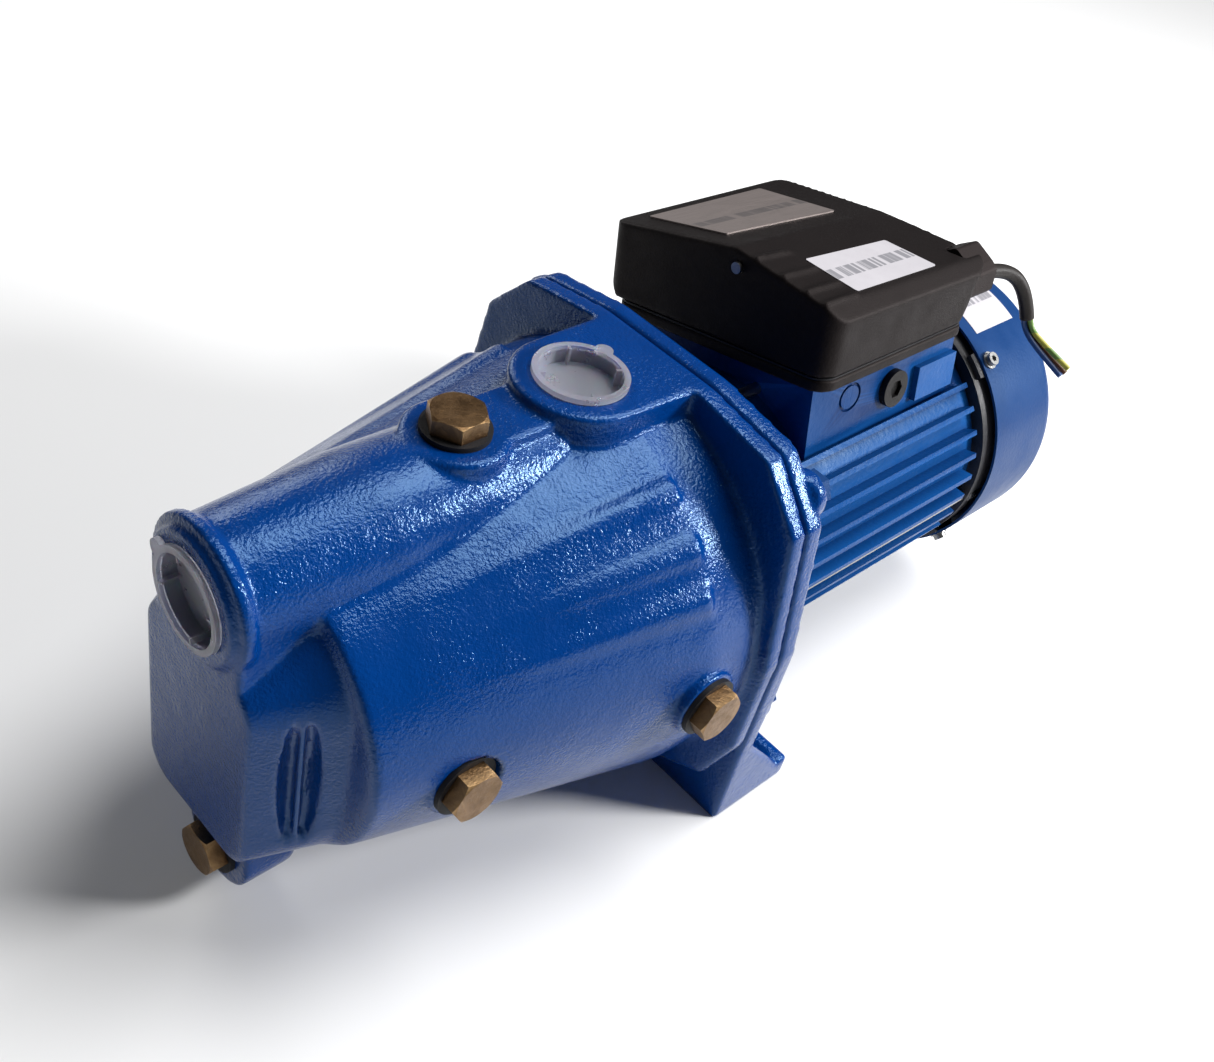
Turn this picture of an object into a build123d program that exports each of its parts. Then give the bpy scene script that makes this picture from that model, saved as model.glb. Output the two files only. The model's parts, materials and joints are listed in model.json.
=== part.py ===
from build123d import *
import os
from math import atan, cos, degrees, pi, radians, sin, tan

# Shallow well jet pump, close coupled. Millimetres, +Z up, ground at Z = 0.
# X runs along the shaft, the suction side towards -X. The near side is -Y.
# Places are worked out from the joint of pump casing and bracket at X = 0. Each part is then
# moved by ORIGIN_X as it is saved, so that the origin is the middle of the foot holes.

os.makedirs("parts", exist_ok=True)

# ---------------------------------------------------------------- driving dimensions
SHAFT_Z = 90.0              # shaft height over the feet
JOINT_X = 0.0               # casing to bracket joint
ORIGIN_X = 27.0             # line of the foot holes
FRONT_X = -192.0            # front wall of the casing
MOTOR_TURN = 13.0           # the motor sits turned about the shaft, box leaning to +Y
CLEAR = 0.1                 # gap left between fixed parts that only touch
RUN = 0.03                  # running fit, radial

# casing
WALL = 6.0
DRUM_FRONT_X, DRUM_FRONT_R, DRUM_FRONT_RISE = -165.0, 61.0, 9.0
DRUM_REAR_X, DRUM_REAR_R, DRUM_REAR_RISE = -34.0, 88.5, 2.0
FLANGE_T = 8.5
OUTLINE_CORNER_R = 5.0
HEAD_HALF_W = 30.0          # front wall half width
HEAD_BOTTOM_Z, HEAD_TOP_Z, HEAD_REAR_TOP_Z = 46.0, 133.0, 148.0
HEAD_CORNER_R, HEAD_REAR_CORNER_R = 12.0, 28.0
HEAD_REAR_HALF_W = 46.0
CHAMBER_LOW_Z, CHAMBER_TOP_Z = 66.0, 134.0
CHAMBER_HALF_W = 22.0
HOLLOW_X, HOLLOW_Z = -177.5, 93.0    # leaf shaped hollow on each flank of the head
HOLLOW_HALF_LEN, HOLLOW_DEPTH, HOLLOW_HALF_H, HOLLOW_RIB_T = 6.8, 6.0, 35.0, 2.0
RIB_ANGLES = (33, 47, 60)            # from the top, on both flanks
RIB_X, RIB_R, RIB_RISE = -140.0, 9.0, 2.5      # each is flush at its front end and stands proud at its rear
CHAMBER_R = 78.0            # machined bore that takes the bracket spigot

# ports, G1
PORT_Z = 154.6              # suction axis height
DISCHARGE_X, PAD_Z = -41.0, 187.0
PORT_BOSS_R = 26.0
TUBE_FRONT_R = 24.3
TUBE_WIDE_X, TUBE_WIDE_R, TUBE_END_X = -135.0, 28.2, -62.0
THREAD_R = 15.3             # G1 thread, minor radius
MOUTH_R, MOUTH_DEPTH = 16.9, 7.0
THREAD_LEN = 14.0
DISCHARGE_THREAD_END_Z = 168.5
PORT_NECK_R = 21.0
SUCTION_FACE_X = -194.0
COLLAR_FACE_R, COLLAR_R, COLLAR_X, COLLAR_END_X = 23.0, 26.8, -191.5, -187.0
THREAD_END_X = SUCTION_FACE_X + MOUTH_DEPTH + THREAD_LEN
CAP_RIM_R, CAP_CUP_R, CAP_WALL = 18.0, 16.6, 1.0
CAP_RIM_T, CAP_CUP_DEPTH = 2.0, 6.0
CAP_RIBS, CAP_RIB_ANGLE, CAP_RIB_DEEP, CAP_RIB_T = 4, 45.0, 2.2, 0.9

# G3/8 brass plugs
PLUG_R, PLUG_LEN = 8.2, 9.0
PLUG_HOLE_R = 8.3
PLUG_HEX_R, PLUG_HEX_T, PLUG_CHAMFER = 11.0, 6.5, 60.0
WASHER_R, WASHER_T = 12.5, 2.0
DECK_Z = 183.0
PRIMING_X = -97.0
DRAIN_Z, DRAIN_FACE_X, DRAIN_BOSS_R = 25.0, -183.0, 19.0
SIDE_BOSS_R = 14.0
SIDE_PLUGS = ((-131.0, 91.0, -66.0), (-35.0, 93.0, -90.0))   # x, z, boss face y

# ejector
NOZZLE_SEAT_R = 9.0
GALLERY_R = 5.0
GALLERY_X = FRONT_X + 13
VENTURI_R = 17.0

# bracket and feet
BRACKET_T = 9.0
FOOT_HALF_W, FOOT_LEN, FOOT_T = 94.0, 46.0, 9.0
FOOT_INNER_Y = 54.0
FOOT_HOLE_Y, FOOT_HOLE_R = 77.0, 5.5
GUSSET_T, GUSSET_TOP = 6.0, 42.0
LIP_H, LIP_T = 11.0, 6.0
LANTERN_R, LANTERN_END_X = 66.0, 46.0
BOLT_PLACES = ((-72.0, 163.0), (72.0, 163.0), (-83.0, 62.0), (83.0, 62.0))   # y, z
BOLT_R, BOLT_DEPTH, BOLT_BOSS_T = 4.0, 7.0, 5.0

# shaft line
SHAFT_R = 8.0
BEARING_R, BEARING_BORE_R, BEARING_W = 20.0, 8.5, 12.0
FRONT_BEARING_X, REAR_BEARING_X = 30.0, 178.0
IMPELLER_X, IMPELLER_R = -20.0, 60.0

# motor
STATOR_R, STATOR_BORE_R = 56.0, 32.0
STATOR_X, STATOR_LEN = 76.0, 72.0
HOUSING_X, HOUSING_END_X = 46.0, 184.0
HOUSING_R, FIN_R, FIN_T = 60.0, 66.5, 2.4
FIN_X, FIN_END_X, FIN_STEP = 52.0, 178.0, 10
COVER_R, COVER_T = 69.8, 1.2
COVER_X, COVER_END_X, COVER_CORNER_R = 190.5, 245.0, 9.0
COVER_SCREW_ANGLE = 50.0
COVER_SCREW_X, COVER_SCREW_R, COVER_SCREW_LEN = 196.0, 2.0, 6.0
TIE_ROD_R, ROD_HEAD_R, TIE_ROD_PLACE_R = 2.5, 4.3, 62.5
TIE_ROD_ANGLES = (20, 110, 200, 290)     # from the motor's top towards the near side

# terminal box, in the motor's turned frame
PAD_TOP, PAD_HALF_W = 70.0, 50.0
PAD_X, PAD_END_X = 62.0, 166.0
WINDOW_HALF = 17.0          # opening for the winding leads
BLANK = (119.0, 53.0)       # x, up, on the pad's near face
BLANK_R, BLANK_DEPTH, BLANK_HEAD_R, BLANK_HEAD_T = 5.5, 7.0, 8.4, 3.2
KNOCK_OUT, KNOCK_OUT_HALF = (89.0, 57.0), (7.5, 6.5)
KNOCK_OUT_GROOVE = 1.4
STEP_X, STEP_END_X, STEP_UP, STEP_H, STEP_RISE = 136.0, 165.0, 50.0, 16.0, 3.0
BOX_X, BOX_END_X = 56.0, 160.0
BOX_HALF_W, BOX_BASE_T = 58.5, 5.0
BOX_WALL, BOX_CORNER_R = 2.6, 9.0
LID_NEAR_W, LID_FAR_W, LID_END_X = 64.0, 61.5, 175.0     # the flared walls, carried up to LID_PLAN_TOP
LID_FAR_BULGE = 65.0
LID_PLAN_TOP = 124.0
ROOF_FRONT = (50.0, (-55.0, 106.7), (-8.5, 118.0), (62.0, 110.0))    # x, near edge, crest, far edge
ROOF_REAR = (180.0, (-55.0, 103.0), (1.0, 107.5), (60.0, 109.0))
LID_SCREW = (-10.4, 109.6)  # across, up, on the front wall
LID_SCREW_R = 1.6

# cable
CABLE_R = 3.3
WIRE_R = 1.3
WIRE_SPREAD = 1.7           # wire centres from the jacket's centre line
COVER_LABEL = (198.0, 230.0, 0.0, 25.6)   # x from, x to, degrees from the top towards the near side

# ---------------------------------------------------------------- frames
turn = radians(MOTOR_TURN)
SHAFT_AXIS = Axis((0, 0, SHAFT_Z), (1, 0, 0))
SHAFT_SECTION = Plane(origin=(0, 0, SHAFT_Z), x_dir=(0, 1, 0), z_dir=(1, 0, 0))
SHAFT_PROFILE = Plane(origin=(0, 0, SHAFT_Z), x_dir=(1, 0, 0), z_dir=(0, -1, 0))
MOTOR_SECTION = Plane(origin=(0, 0, SHAFT_Z), x_dir=(0, cos(turn), -sin(turn)), z_dir=(1, 0, 0))
MOTOR_TOP = Plane(origin=(0, 0, SHAFT_Z), x_dir=(1, 0, 0), z_dir=(0, sin(turn), cos(turn)))
MOTOR_NEAR = (0, -cos(turn), sin(turn))      # outward from the motor's near flank


def motor_point(x, across, up):
    """World place of a point given in the motor's turned frame."""
    y = cos(turn) * across + sin(turn) * up
    z = SHAFT_Z - sin(turn) * across + cos(turn) * up
    return (x, y, z)


PAD_FACE = Plane(origin=motor_point(0, -PAD_HALF_W, 0), x_dir=(1, 0, 0), z_dir=MOTOR_NEAR)


def disc(x0, x1, radius, inner=0.0, mode=Mode.ADD):
    """A disc or ring about the shaft, from x0 to x1, inside the open part."""
    with BuildSketch(SHAFT_SECTION.offset(x0)) as section:
        Circle(radius)
        if inner:
            Circle(inner, mode=Mode.SUBTRACT)
    extrude(section.sketch, amount=x1 - x0, mode=mode)


def along_x(x0, x1, y, z, radius, mode=Mode.ADD):
    """A round bar or hole along X, inside the open part."""
    with BuildSketch(Plane.YZ.offset(x0)) as section:
        with Locations((y, z)):
            Circle(radius)
    extrude(section.sketch, amount=x1 - x0, mode=mode)


def along_z(x, y, z0, z1, radius, mode=Mode.ADD):
    """A round bar or hole along Z, inside the open part."""
    with BuildSketch(Plane.XY.offset(z0)) as section:
        with Locations((x, y)):
            Circle(radius)
    extrude(section.sketch, amount=z1 - z0, mode=mode)


def along_y(x, z, y0, y1, radius, mode=Mode.ADD):
    """A round bar or hole along Y towards the near side, inside the open part."""
    with BuildSketch(Plane.XZ.offset(-y0)) as section:
        with Locations((x, z)):
            Circle(radius)
    extrude(section.sketch, amount=y0 - y1, mode=mode)


def on_motor(x0, x1, angles, place_r, radius, mode=Mode.ADD):
    """Round bars or holes along X at these angles from the motor's top, inside the open part."""
    with BuildSketch(MOTOR_SECTION.offset(x0)) as section:
        for angle in angles:
            with Locations((-place_r * sin(radians(angle)), place_r * cos(radians(angle)))):
                Circle(radius)
    extrude(section.sketch, amount=x1 - x0, mode=mode)


def cover_screws(inner, outer, radius, sides=0, mode=Mode.ADD):
    """Round or many sided bars through the fan cover at its screws, inside the open part."""
    for corner in range(4):
        way = radians(COVER_SCREW_ANGLE + 90 * corner) - turn
        out = Vector(0, -sin(way), cos(way))
        foot_point = Vector(COVER_SCREW_X, 0, SHAFT_Z) + out * inner
        with BuildSketch(Plane(origin=foot_point, x_dir=(1, 0, 0), z_dir=out)) as section:
            if sides:
                RegularPolygon(radius, sides)
            else:
                Circle(radius)
        extrude(section.sketch, amount=outer - inner, mode=mode)


def save(builder, name):
    """Write one node, moved so that the origin is the middle of the foot holes."""
    node = builder.part.moved(Location((-ORIGIN_X, 0, 0)))
    node.label = name
    export_step(node, f"parts/{name}.step")


# ---------------------------------------------------------------- pump casing
def drum(shrink, mode):
    """The tapered barrel, its axis falling towards the joint."""
    with BuildSketch(Plane.YZ.offset(DRUM_FRONT_X + shrink)) as front:
        with Locations((0, SHAFT_Z + DRUM_FRONT_RISE)):
            Circle(DRUM_FRONT_R - shrink)
    with BuildSketch(Plane.YZ.offset(DRUM_REAR_X)) as rear:
        with Locations((0, SHAFT_Z + DRUM_REAR_RISE)):
            Circle(DRUM_REAR_R - shrink)
    loft([front.sketch, rear.sketch], mode=mode)


def drum_rib(angle):
    """A long shallow wedge lying on the barrel at this angle from the top."""
    side, up = sin(radians(angle)), cos(radians(angle))
    along = (RIB_X - DRUM_FRONT_X) / (DRUM_REAR_X - DRUM_FRONT_X)
    front_r = DRUM_FRONT_R + along * (DRUM_REAR_R - DRUM_FRONT_R) - RIB_R
    front_z = SHAFT_Z + DRUM_FRONT_RISE + along * (DRUM_REAR_RISE - DRUM_FRONT_RISE)
    rear_r = DRUM_REAR_R + RIB_RISE - RIB_R
    with BuildSketch(Plane.YZ.offset(RIB_X)) as start:
        with Locations((side * front_r, front_z + up * front_r)):
            Circle(RIB_R)
    with BuildSketch(Plane.YZ.offset(DRUM_REAR_X)) as end:
        with Locations((side * rear_r, SHAFT_Z + DRUM_REAR_RISE + up * rear_r)):
            Circle(RIB_R)
    loft([start.sketch, end.sketch])


def joint_plate(bottom, x0, x1):
    """A plate with the rounded outline both castings share at the joint, inside the open part."""
    half = [(27, PAD_Z), (65, 181), (86, 159), (95, 100)] + bottom
    outline = half + [(-y, z) for y, z in reversed(half)]
    with BuildSketch(Plane.YZ.offset(x0)) as section:
        with BuildLine():
            FilletPolyline(*outline, radius=OUTLINE_CORNER_R, close=True)
        make_face()
    extrude(section.sketch, amount=x1 - x0)


def head_section(x, half_w, z0, z1, corner):
    """A rounded upright section of the front head."""
    with BuildSketch(Plane.YZ.offset(x)) as section:
        with Locations((0, (z0 + z1) / 2)):
            RectangleRounded(2 * half_w, z1 - z0, corner)
    return section.sketch


def suction_head():
    """The front head: narrow at the wall, widening to the barrel, with a neck up to the suction tube."""
    front = head_section(FRONT_X, HEAD_HALF_W, HEAD_BOTTOM_Z, HEAD_TOP_Z, HEAD_CORNER_R)
    rear = head_section(DRUM_FRONT_X, HEAD_REAR_HALF_W, HEAD_BOTTOM_Z - 2, HEAD_REAR_TOP_Z, HEAD_REAR_CORNER_R)
    loft([front, rear])
    with BuildSketch(Plane.YZ.offset(FRONT_X)) as neck:
        with Locations((0, (CHAMBER_LOW_Z + PORT_Z) / 2)):
            Rectangle(2 * TUBE_FRONT_R, PORT_Z - CHAMBER_LOW_Z)
    extrude(neck.sketch, amount=DRUM_FRONT_X - FRONT_X)


def head_chamber():
    """The suction chamber inside the front head."""
    front = head_section(FRONT_X + WALL, CHAMBER_HALF_W, CHAMBER_LOW_Z, CHAMBER_TOP_Z, 8)
    rear = head_section(DRUM_FRONT_X - 1, CHAMBER_HALF_W + 1, CHAMBER_LOW_Z, CHAMBER_TOP_Z, 12)
    loft([front, rear], mode=Mode.SUBTRACT)
    with BuildSketch(Plane.XY.offset(CHAMBER_TOP_Z - 4)) as throat:
        with Locations(((THREAD_END_X + DRUM_FRONT_X - 1) / 2, 0)):
            Rectangle(DRUM_FRONT_X - 1 - THREAD_END_X, 2 * THREAD_R)
    extrude(throat.sketch, amount=PORT_Z - CHAMBER_TOP_Z, mode=Mode.SUBTRACT)
    along_x(THREAD_END_X, DRUM_FRONT_X - 1, 0, PORT_Z, THREAD_R + 3, Mode.SUBTRACT)


FLANK_SLOPE = (HEAD_REAR_HALF_W - HEAD_HALF_W) / (DRUM_FRONT_X - FRONT_X)
FLANK_HOLLOW = scale(Sphere(1), by=(HOLLOW_HALF_LEN, HOLLOW_DEPTH, HOLLOW_HALF_H))
FLANK_HOLLOW -= Box(HOLLOW_RIB_T, 2 * HOLLOW_DEPTH, 2 * HOLLOW_HALF_H)


def head_recesses():
    """A leaf shaped hollow on each flank of the head, with a thin upright rib left standing in it."""
    y = HEAD_HALF_W + FLANK_SLOPE * (HOLLOW_X - FRONT_X)
    for side in (-1, 1):
        place = Location((HOLLOW_X, side * y, HOLLOW_Z), (0, 0, side * degrees(atan(FLANK_SLOPE))))
        add(place * FLANK_HOLLOW, mode=Mode.SUBTRACT)


def port_tubes():
    """Suction tube along the top with its ring boss, and the deck and pad over it."""
    along_x(SUCTION_FACE_X, COLLAR_X, 0, PORT_Z, COLLAR_FACE_R)
    along_x(COLLAR_X, COLLAR_END_X, 0, PORT_Z, COLLAR_R)
    with BuildSketch(Plane.YZ.offset(COLLAR_END_X)) as tube_front:
        with Locations((0, PORT_Z)):
            Circle(TUBE_FRONT_R)
    with BuildSketch(Plane.YZ.offset(TUBE_WIDE_X)) as tube_rear:
        with Locations((0, PORT_Z)):
            Circle(TUBE_WIDE_R)
    loft([tube_front.sketch, tube_rear.sketch])
    along_x(TUBE_WIDE_X, TUBE_END_X, 0, PORT_Z, TUBE_WIDE_R)
    with BuildSketch(Plane.XY.offset(PORT_Z)) as deck:
        with BuildLine():
            Polyline((PRIMING_X, -13.5), (DISCHARGE_X, -13.5), (DISCHARGE_X, 13.5), (PRIMING_X, 13.5),
                     close=True)
        make_face()
    extrude(deck.sketch, amount=DECK_Z - PORT_Z)
    along_z(PRIMING_X, 0, PORT_Z, DECK_Z, 19)
    along_z(DISCHARGE_X, 0, PORT_Z, PAD_Z, PORT_BOSS_R)
    with BuildSketch(Plane.XY.offset(PORT_Z)) as pad:
        with BuildLine():
            Polyline((DISCHARGE_X, -PORT_BOSS_R), (JOINT_X, -27), (JOINT_X, 27), (DISCHARGE_X, PORT_BOSS_R),
                     close=True)
        make_face()
    extrude(pad.sketch, amount=PAD_Z - PORT_Z)


def plug_bosses():
    along_x(DRAIN_FACE_X, DRUM_FRONT_X + 4, 0, DRAIN_Z, DRAIN_BOSS_R)
    with BuildSketch(Plane.YZ.offset(DRAIN_FACE_X)) as web:
        with Locations((0, (DRAIN_Z + HEAD_BOTTOM_Z + 8) / 2)):
            Rectangle(2 * DRAIN_BOSS_R, HEAD_BOTTOM_Z + 8 - DRAIN_Z)
    extrude(web.sketch, amount=DRUM_FRONT_X + 4 - DRAIN_FACE_X)
    for x, z, face_y in SIDE_PLUGS:
        along_y(x, z, face_y + 22, face_y, SIDE_BOSS_R)


def port_bores():
    along_x(SUCTION_FACE_X, SUCTION_FACE_X + MOUTH_DEPTH, 0, PORT_Z, MOUTH_R, Mode.SUBTRACT)
    along_x(SUCTION_FACE_X, THREAD_END_X, 0, PORT_Z, THREAD_R, Mode.SUBTRACT)
    along_z(DISCHARGE_X, 0, DISCHARGE_THREAD_END_Z, PAD_Z - MOUTH_DEPTH, PORT_NECK_R)
    along_z(DISCHARGE_X, 0, PAD_Z - MOUTH_DEPTH, PAD_Z, MOUTH_R, Mode.SUBTRACT)
    along_z(DISCHARGE_X, 0, DISCHARGE_THREAD_END_Z, PAD_Z, THREAD_R, Mode.SUBTRACT)


def plug_holes():
    along_z(PRIMING_X, 0, DECK_Z - 40, DECK_Z, PLUG_HOLE_R, Mode.SUBTRACT)
    along_x(DRAIN_FACE_X, DRAIN_FACE_X + 12, 0, DRAIN_Z, PLUG_HOLE_R, Mode.SUBTRACT)
    for x, z, face_y in SIDE_PLUGS:
        along_y(x, z, face_y + 24, face_y, PLUG_HOLE_R, Mode.SUBTRACT)
        along_y(x, z, face_y, face_y - 10, WASHER_R + 0.5, Mode.SUBTRACT)


def ejector_passages():
    """Seat of the nozzle, the gallery that feeds it, and the bore for the venturi tube."""
    along_x(FRONT_X + WALL - 1, GALLERY_X + 7, 0, SHAFT_Z, NOZZLE_SEAT_R + 6)
    with BuildSketch(Plane.XY.offset(60)) as column:
        with Locations((GALLERY_X, 0)):
            Rectangle(14, 18)
    extrude(column.sketch, amount=SHAFT_Z - 60)
    along_x(GALLERY_X, GALLERY_X + 7, 0, SHAFT_Z, NOZZLE_SEAT_R - 2, Mode.SUBTRACT)
    along_z(GALLERY_X, 0, 36, SHAFT_Z, GALLERY_R, Mode.SUBTRACT)
    along_x(GALLERY_X, DRUM_FRONT_X + WALL + 2, 0, 54, GALLERY_R, Mode.SUBTRACT)
    along_z(DRAIN_FACE_X + 9, 0, DRAIN_Z, 54, GALLERY_R - 1, Mode.SUBTRACT)
    along_x(DRUM_FRONT_X - 2, DRUM_FRONT_X + WALL + 1, 0, SHAFT_Z, VENTURI_R + CLEAR, Mode.SUBTRACT)


with BuildPart() as casing:
    drum(0, Mode.ADD)
    with BuildSketch(Plane.YZ.offset(DRUM_REAR_X)):
        with Locations((0, SHAFT_Z + DRUM_REAR_RISE)):
            Circle(DRUM_REAR_R)
    extrude(amount=JOINT_X - DRUM_REAR_X)
    for rib_angle in RIB_ANGLES:
        drum_rib(rib_angle)
        drum_rib(-rib_angle)
    suction_head()
    head_recesses()
    joint_plate([(94, 52), (84, 26), (60, 14)], JOINT_X - FLANGE_T, JOINT_X)
    port_tubes()
    plug_bosses()
    drum(WALL, Mode.SUBTRACT)
    disc(DRUM_REAR_X, JOINT_X, CHAMBER_R, mode=Mode.SUBTRACT)
    head_chamber()
    port_bores()
    plug_holes()
    ejector_passages()
    for bolt_y, bolt_z in BOLT_PLACES:
        along_x(JOINT_X - BOLT_DEPTH, JOINT_X, bolt_y, bolt_z, BOLT_R + CLEAR, Mode.SUBTRACT)
save(casing, "pump_casing")


# ---------------------------------------------------------------- port caps and brass plugs
def port_cap(face, name):
    """A push-in transit cap: a rimmed cup with a pull tab and short ribs on its inner wall."""
    with BuildPart() as cap:
        with BuildSketch(face.offset(CLEAR / 2)) as rim:
            Circle(CAP_RIM_R)
            with Locations((CAP_RIM_R, 0)):
                Circle(3.5)
        extrude(rim.sketch, amount=CAP_RIM_T)
        with BuildSketch(face.offset(CLEAR / 2)) as cup:
            Circle(CAP_CUP_R)
        extrude(cup.sketch, amount=-CAP_CUP_DEPTH)
        with BuildSketch(face.offset(CLEAR / 2 - CAP_CUP_DEPTH + CAP_WALL)) as hollow:
            Circle(CAP_CUP_R - CAP_WALL)
            with PolarLocations(CAP_CUP_R - CAP_WALL, CAP_RIBS, start_angle=CAP_RIB_ANGLE):
                Rectangle(2 * CAP_RIB_DEEP, CAP_RIB_T, mode=Mode.SUBTRACT)
        extrude(hollow.sketch, amount=CAP_CUP_DEPTH + CAP_RIM_T, mode=Mode.SUBTRACT)
    save(cap, name)


SUCTION_FACE = Plane(origin=(SUCTION_FACE_X, 0, PORT_Z), x_dir=(0, 0.86, 0.5), z_dir=(-1, 0, 0))
DISCHARGE_FACE = Plane(origin=(DISCHARGE_X, 0, PAD_Z), x_dir=(0.94, 0.34, 0), z_dir=(0, 0, 1))
port_cap(SUCTION_FACE, "suction_cap")
port_cap(DISCHARGE_FACE, "discharge_cap")

PRIMING_FACE = Plane(origin=(PRIMING_X, 0, DECK_Z), x_dir=(1, 0, 0), z_dir=(0, 0, 1))
DRAIN_FACE = Plane(origin=(DRAIN_FACE_X, 0, DRAIN_Z), x_dir=(0, 1, 0), z_dir=(-1, 0, 0))
SIDE_FACES = [
    Plane(origin=(x, face_y, z), x_dir=(1, 0, 0), z_dir=(0, -1, 0)) for x, z, face_y in SIDE_PLUGS
]


def hex_plug(face):
    """A brass plug seated on its washer, the corners of its hexagon head chamfered round."""
    flat_r = PLUG_HEX_R * cos(radians(30))
    with BuildPart() as plug:
        with BuildSketch(face.offset(WASHER_T)) as head:
            RegularPolygon(PLUG_HEX_R, 6)
        extrude(head.sketch, amount=PLUG_HEX_T)
        with BuildSketch(face.offset(WASHER_T)) as cone_foot:
            Circle(flat_r + PLUG_HEX_T * tan(radians(PLUG_CHAMFER)))
        extrude(cone_foot.sketch, amount=PLUG_HEX_T, taper=PLUG_CHAMFER, mode=Mode.INTERSECT)
        with BuildSketch(face.offset(WASHER_T)) as shank:
            Circle(PLUG_R)
        extrude(shank.sketch, amount=-PLUG_LEN - WASHER_T)
    return plug


def washer(face):
    with BuildSketch(face) as ring:
        Circle(WASHER_R)
        Circle(PLUG_R + CLEAR, mode=Mode.SUBTRACT)
    extrude(ring.sketch, amount=WASHER_T)


save(hex_plug(PRIMING_FACE), "priming_plug")
save(hex_plug(DRAIN_FACE), "drain_plug")
side_plug_parts = [hex_plug(side_face).part for side_face in SIDE_FACES]

with BuildPart() as side_plugs:
    for side_plug in side_plug_parts:
        add(side_plug)
save(side_plugs, "side_plugs")

with BuildPart() as plug_washers:
    for plug_face in [PRIMING_FACE, DRAIN_FACE] + SIDE_FACES:
        washer(plug_face)
save(plug_washers, "plug_washers")

# ---------------------------------------------------------------- ejector and hydraulics
NOZZLE_X = GALLERY_X + 7
NOZZLE_TIP_X = DRUM_FRONT_X + 7

with BuildPart() as nozzle:
    with BuildSketch(SHAFT_PROFILE) as nozzle_half:
        with BuildLine():
            Polyline((NOZZLE_X, 3.5), (NOZZLE_X, 12), (NOZZLE_X + 3, 12), (NOZZLE_TIP_X, 5),
                     (NOZZLE_TIP_X, 3.5), close=True)
        make_face()
    revolve(nozzle_half.sketch, axis=SHAFT_AXIS)
save(nozzle, "ejector_nozzle")

VENTURI_X, VENTURI_END_X = DRUM_FRONT_X + 0.5, -42.0
THROAT_R = 7.0

with BuildPart() as venturi:
    with BuildSketch(SHAFT_PROFILE) as venturi_half:
        with BuildLine():
            Polyline((VENTURI_X, THROAT_R + 7), (VENTURI_X, VENTURI_R), (VENTURI_X + 8, VENTURI_R),
                     (VENTURI_X + 12, THROAT_R + 5), (VENTURI_X + 50, THROAT_R + 5),
                     (VENTURI_END_X, VENTURI_R), (VENTURI_END_X, VENTURI_R - 2.5),
                     (VENTURI_X + 48, THROAT_R), (VENTURI_X + 24, THROAT_R), close=True)
        make_face()
    revolve(venturi_half.sketch, axis=SHAFT_AXIS)
save(venturi, "venturi_tube")

DIFFUSER_X, DIFFUSER_END_X = -46.0, -6.0
EYE_R = 18.5
DIFFUSER_VANES = 8

with BuildPart() as diffuser:
    disc(DIFFUSER_X, DIFFUSER_X + 10, EYE_R + 3, VENTURI_R + CLEAR)
    disc(DIFFUSER_X + 10, DIFFUSER_X + 13, CHAMBER_R - 1, EYE_R)
    disc(DIFFUSER_X + 13, DIFFUSER_END_X, CHAMBER_R - 1, CHAMBER_R - 4)
    with BuildSketch(SHAFT_SECTION.offset(DIFFUSER_X + 11)) as vane_feet:
        with PolarLocations(IMPELLER_R + 9, DIFFUSER_VANES):
            Rectangle(12, 2.5, rotation=35)
    extrude(vane_feet.sketch, amount=18)
save(diffuser, "diffuser")

IMPELLER_VANES = 6
HUB_R = 12.0
HUB_FRONT_X, HUB_END_X = IMPELLER_X - 9, IMPELLER_X + 6

with BuildPart() as impeller:
    disc(IMPELLER_X, IMPELLER_X + 2.5, IMPELLER_R, SHAFT_R + RUN)
    disc(HUB_FRONT_X, HUB_END_X, HUB_R, SHAFT_R + RUN)
    disc(IMPELLER_X - 9.5, IMPELLER_X - 7.5, IMPELLER_R, EYE_R - 2.5)
    for vane in range(IMPELLER_VANES):
        vane_angle = 360 / IMPELLER_VANES * vane
        with BuildSketch(SHAFT_SECTION.rotated((0, 0, vane_angle)).offset(IMPELLER_X - 8)) as vane_root:
            with BuildLine():
                ThreePointArc((HUB_R + 5, 0), (HUB_R + 26, 9), (IMPELLER_R - 0.5, 28))
                offset(amount=1.2, side=Side.BOTH)
            make_face()
        with BuildSketch(SHAFT_SECTION.offset(IMPELLER_X - 8)) as vane_limit:
            Circle(IMPELLER_R)
        extrude((vane_root.sketch & vane_limit.sketch), amount=9)
save(impeller, "impeller")

NUT_T = 8.0
THREAD_END_R = SHAFT_R - 2

with BuildPart() as impeller_nut:
    with BuildSketch(SHAFT_SECTION.offset(HUB_FRONT_X - NUT_T)) as nut_outline:
        RegularPolygon(10, 6)
        Circle(THREAD_END_R + RUN, mode=Mode.SUBTRACT)
    extrude(nut_outline.sketch, amount=NUT_T - RUN)
save(impeller_nut, "impeller_nut")

with BuildPart() as casing_o_ring:
    disc(JOINT_X - 4.4, JOINT_X - 1.6, CHAMBER_R - 0.15, CHAMBER_R - 2.85)
save(casing_o_ring, "casing_o_ring")

SEAL_SEAT_R = 15.0

with BuildPart() as seal_seat:
    disc(JOINT_X - 3, JOINT_X + 4, SEAL_SEAT_R, SHAFT_R + 1.5)
save(seal_seat, "seal_stationary_seat")

with BuildPart() as seal_ring:
    disc(JOINT_X - 6, JOINT_X - 3.02, 13, SHAFT_R + RUN)
save(seal_ring, "seal_rotating_ring")

SPRING_R, SPRING_WIRE_R = 10.5, 0.8
SPRING_X, SPRING_LEN, SPRING_TURNS = HUB_END_X + 0.9, 6.2, 2

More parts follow.
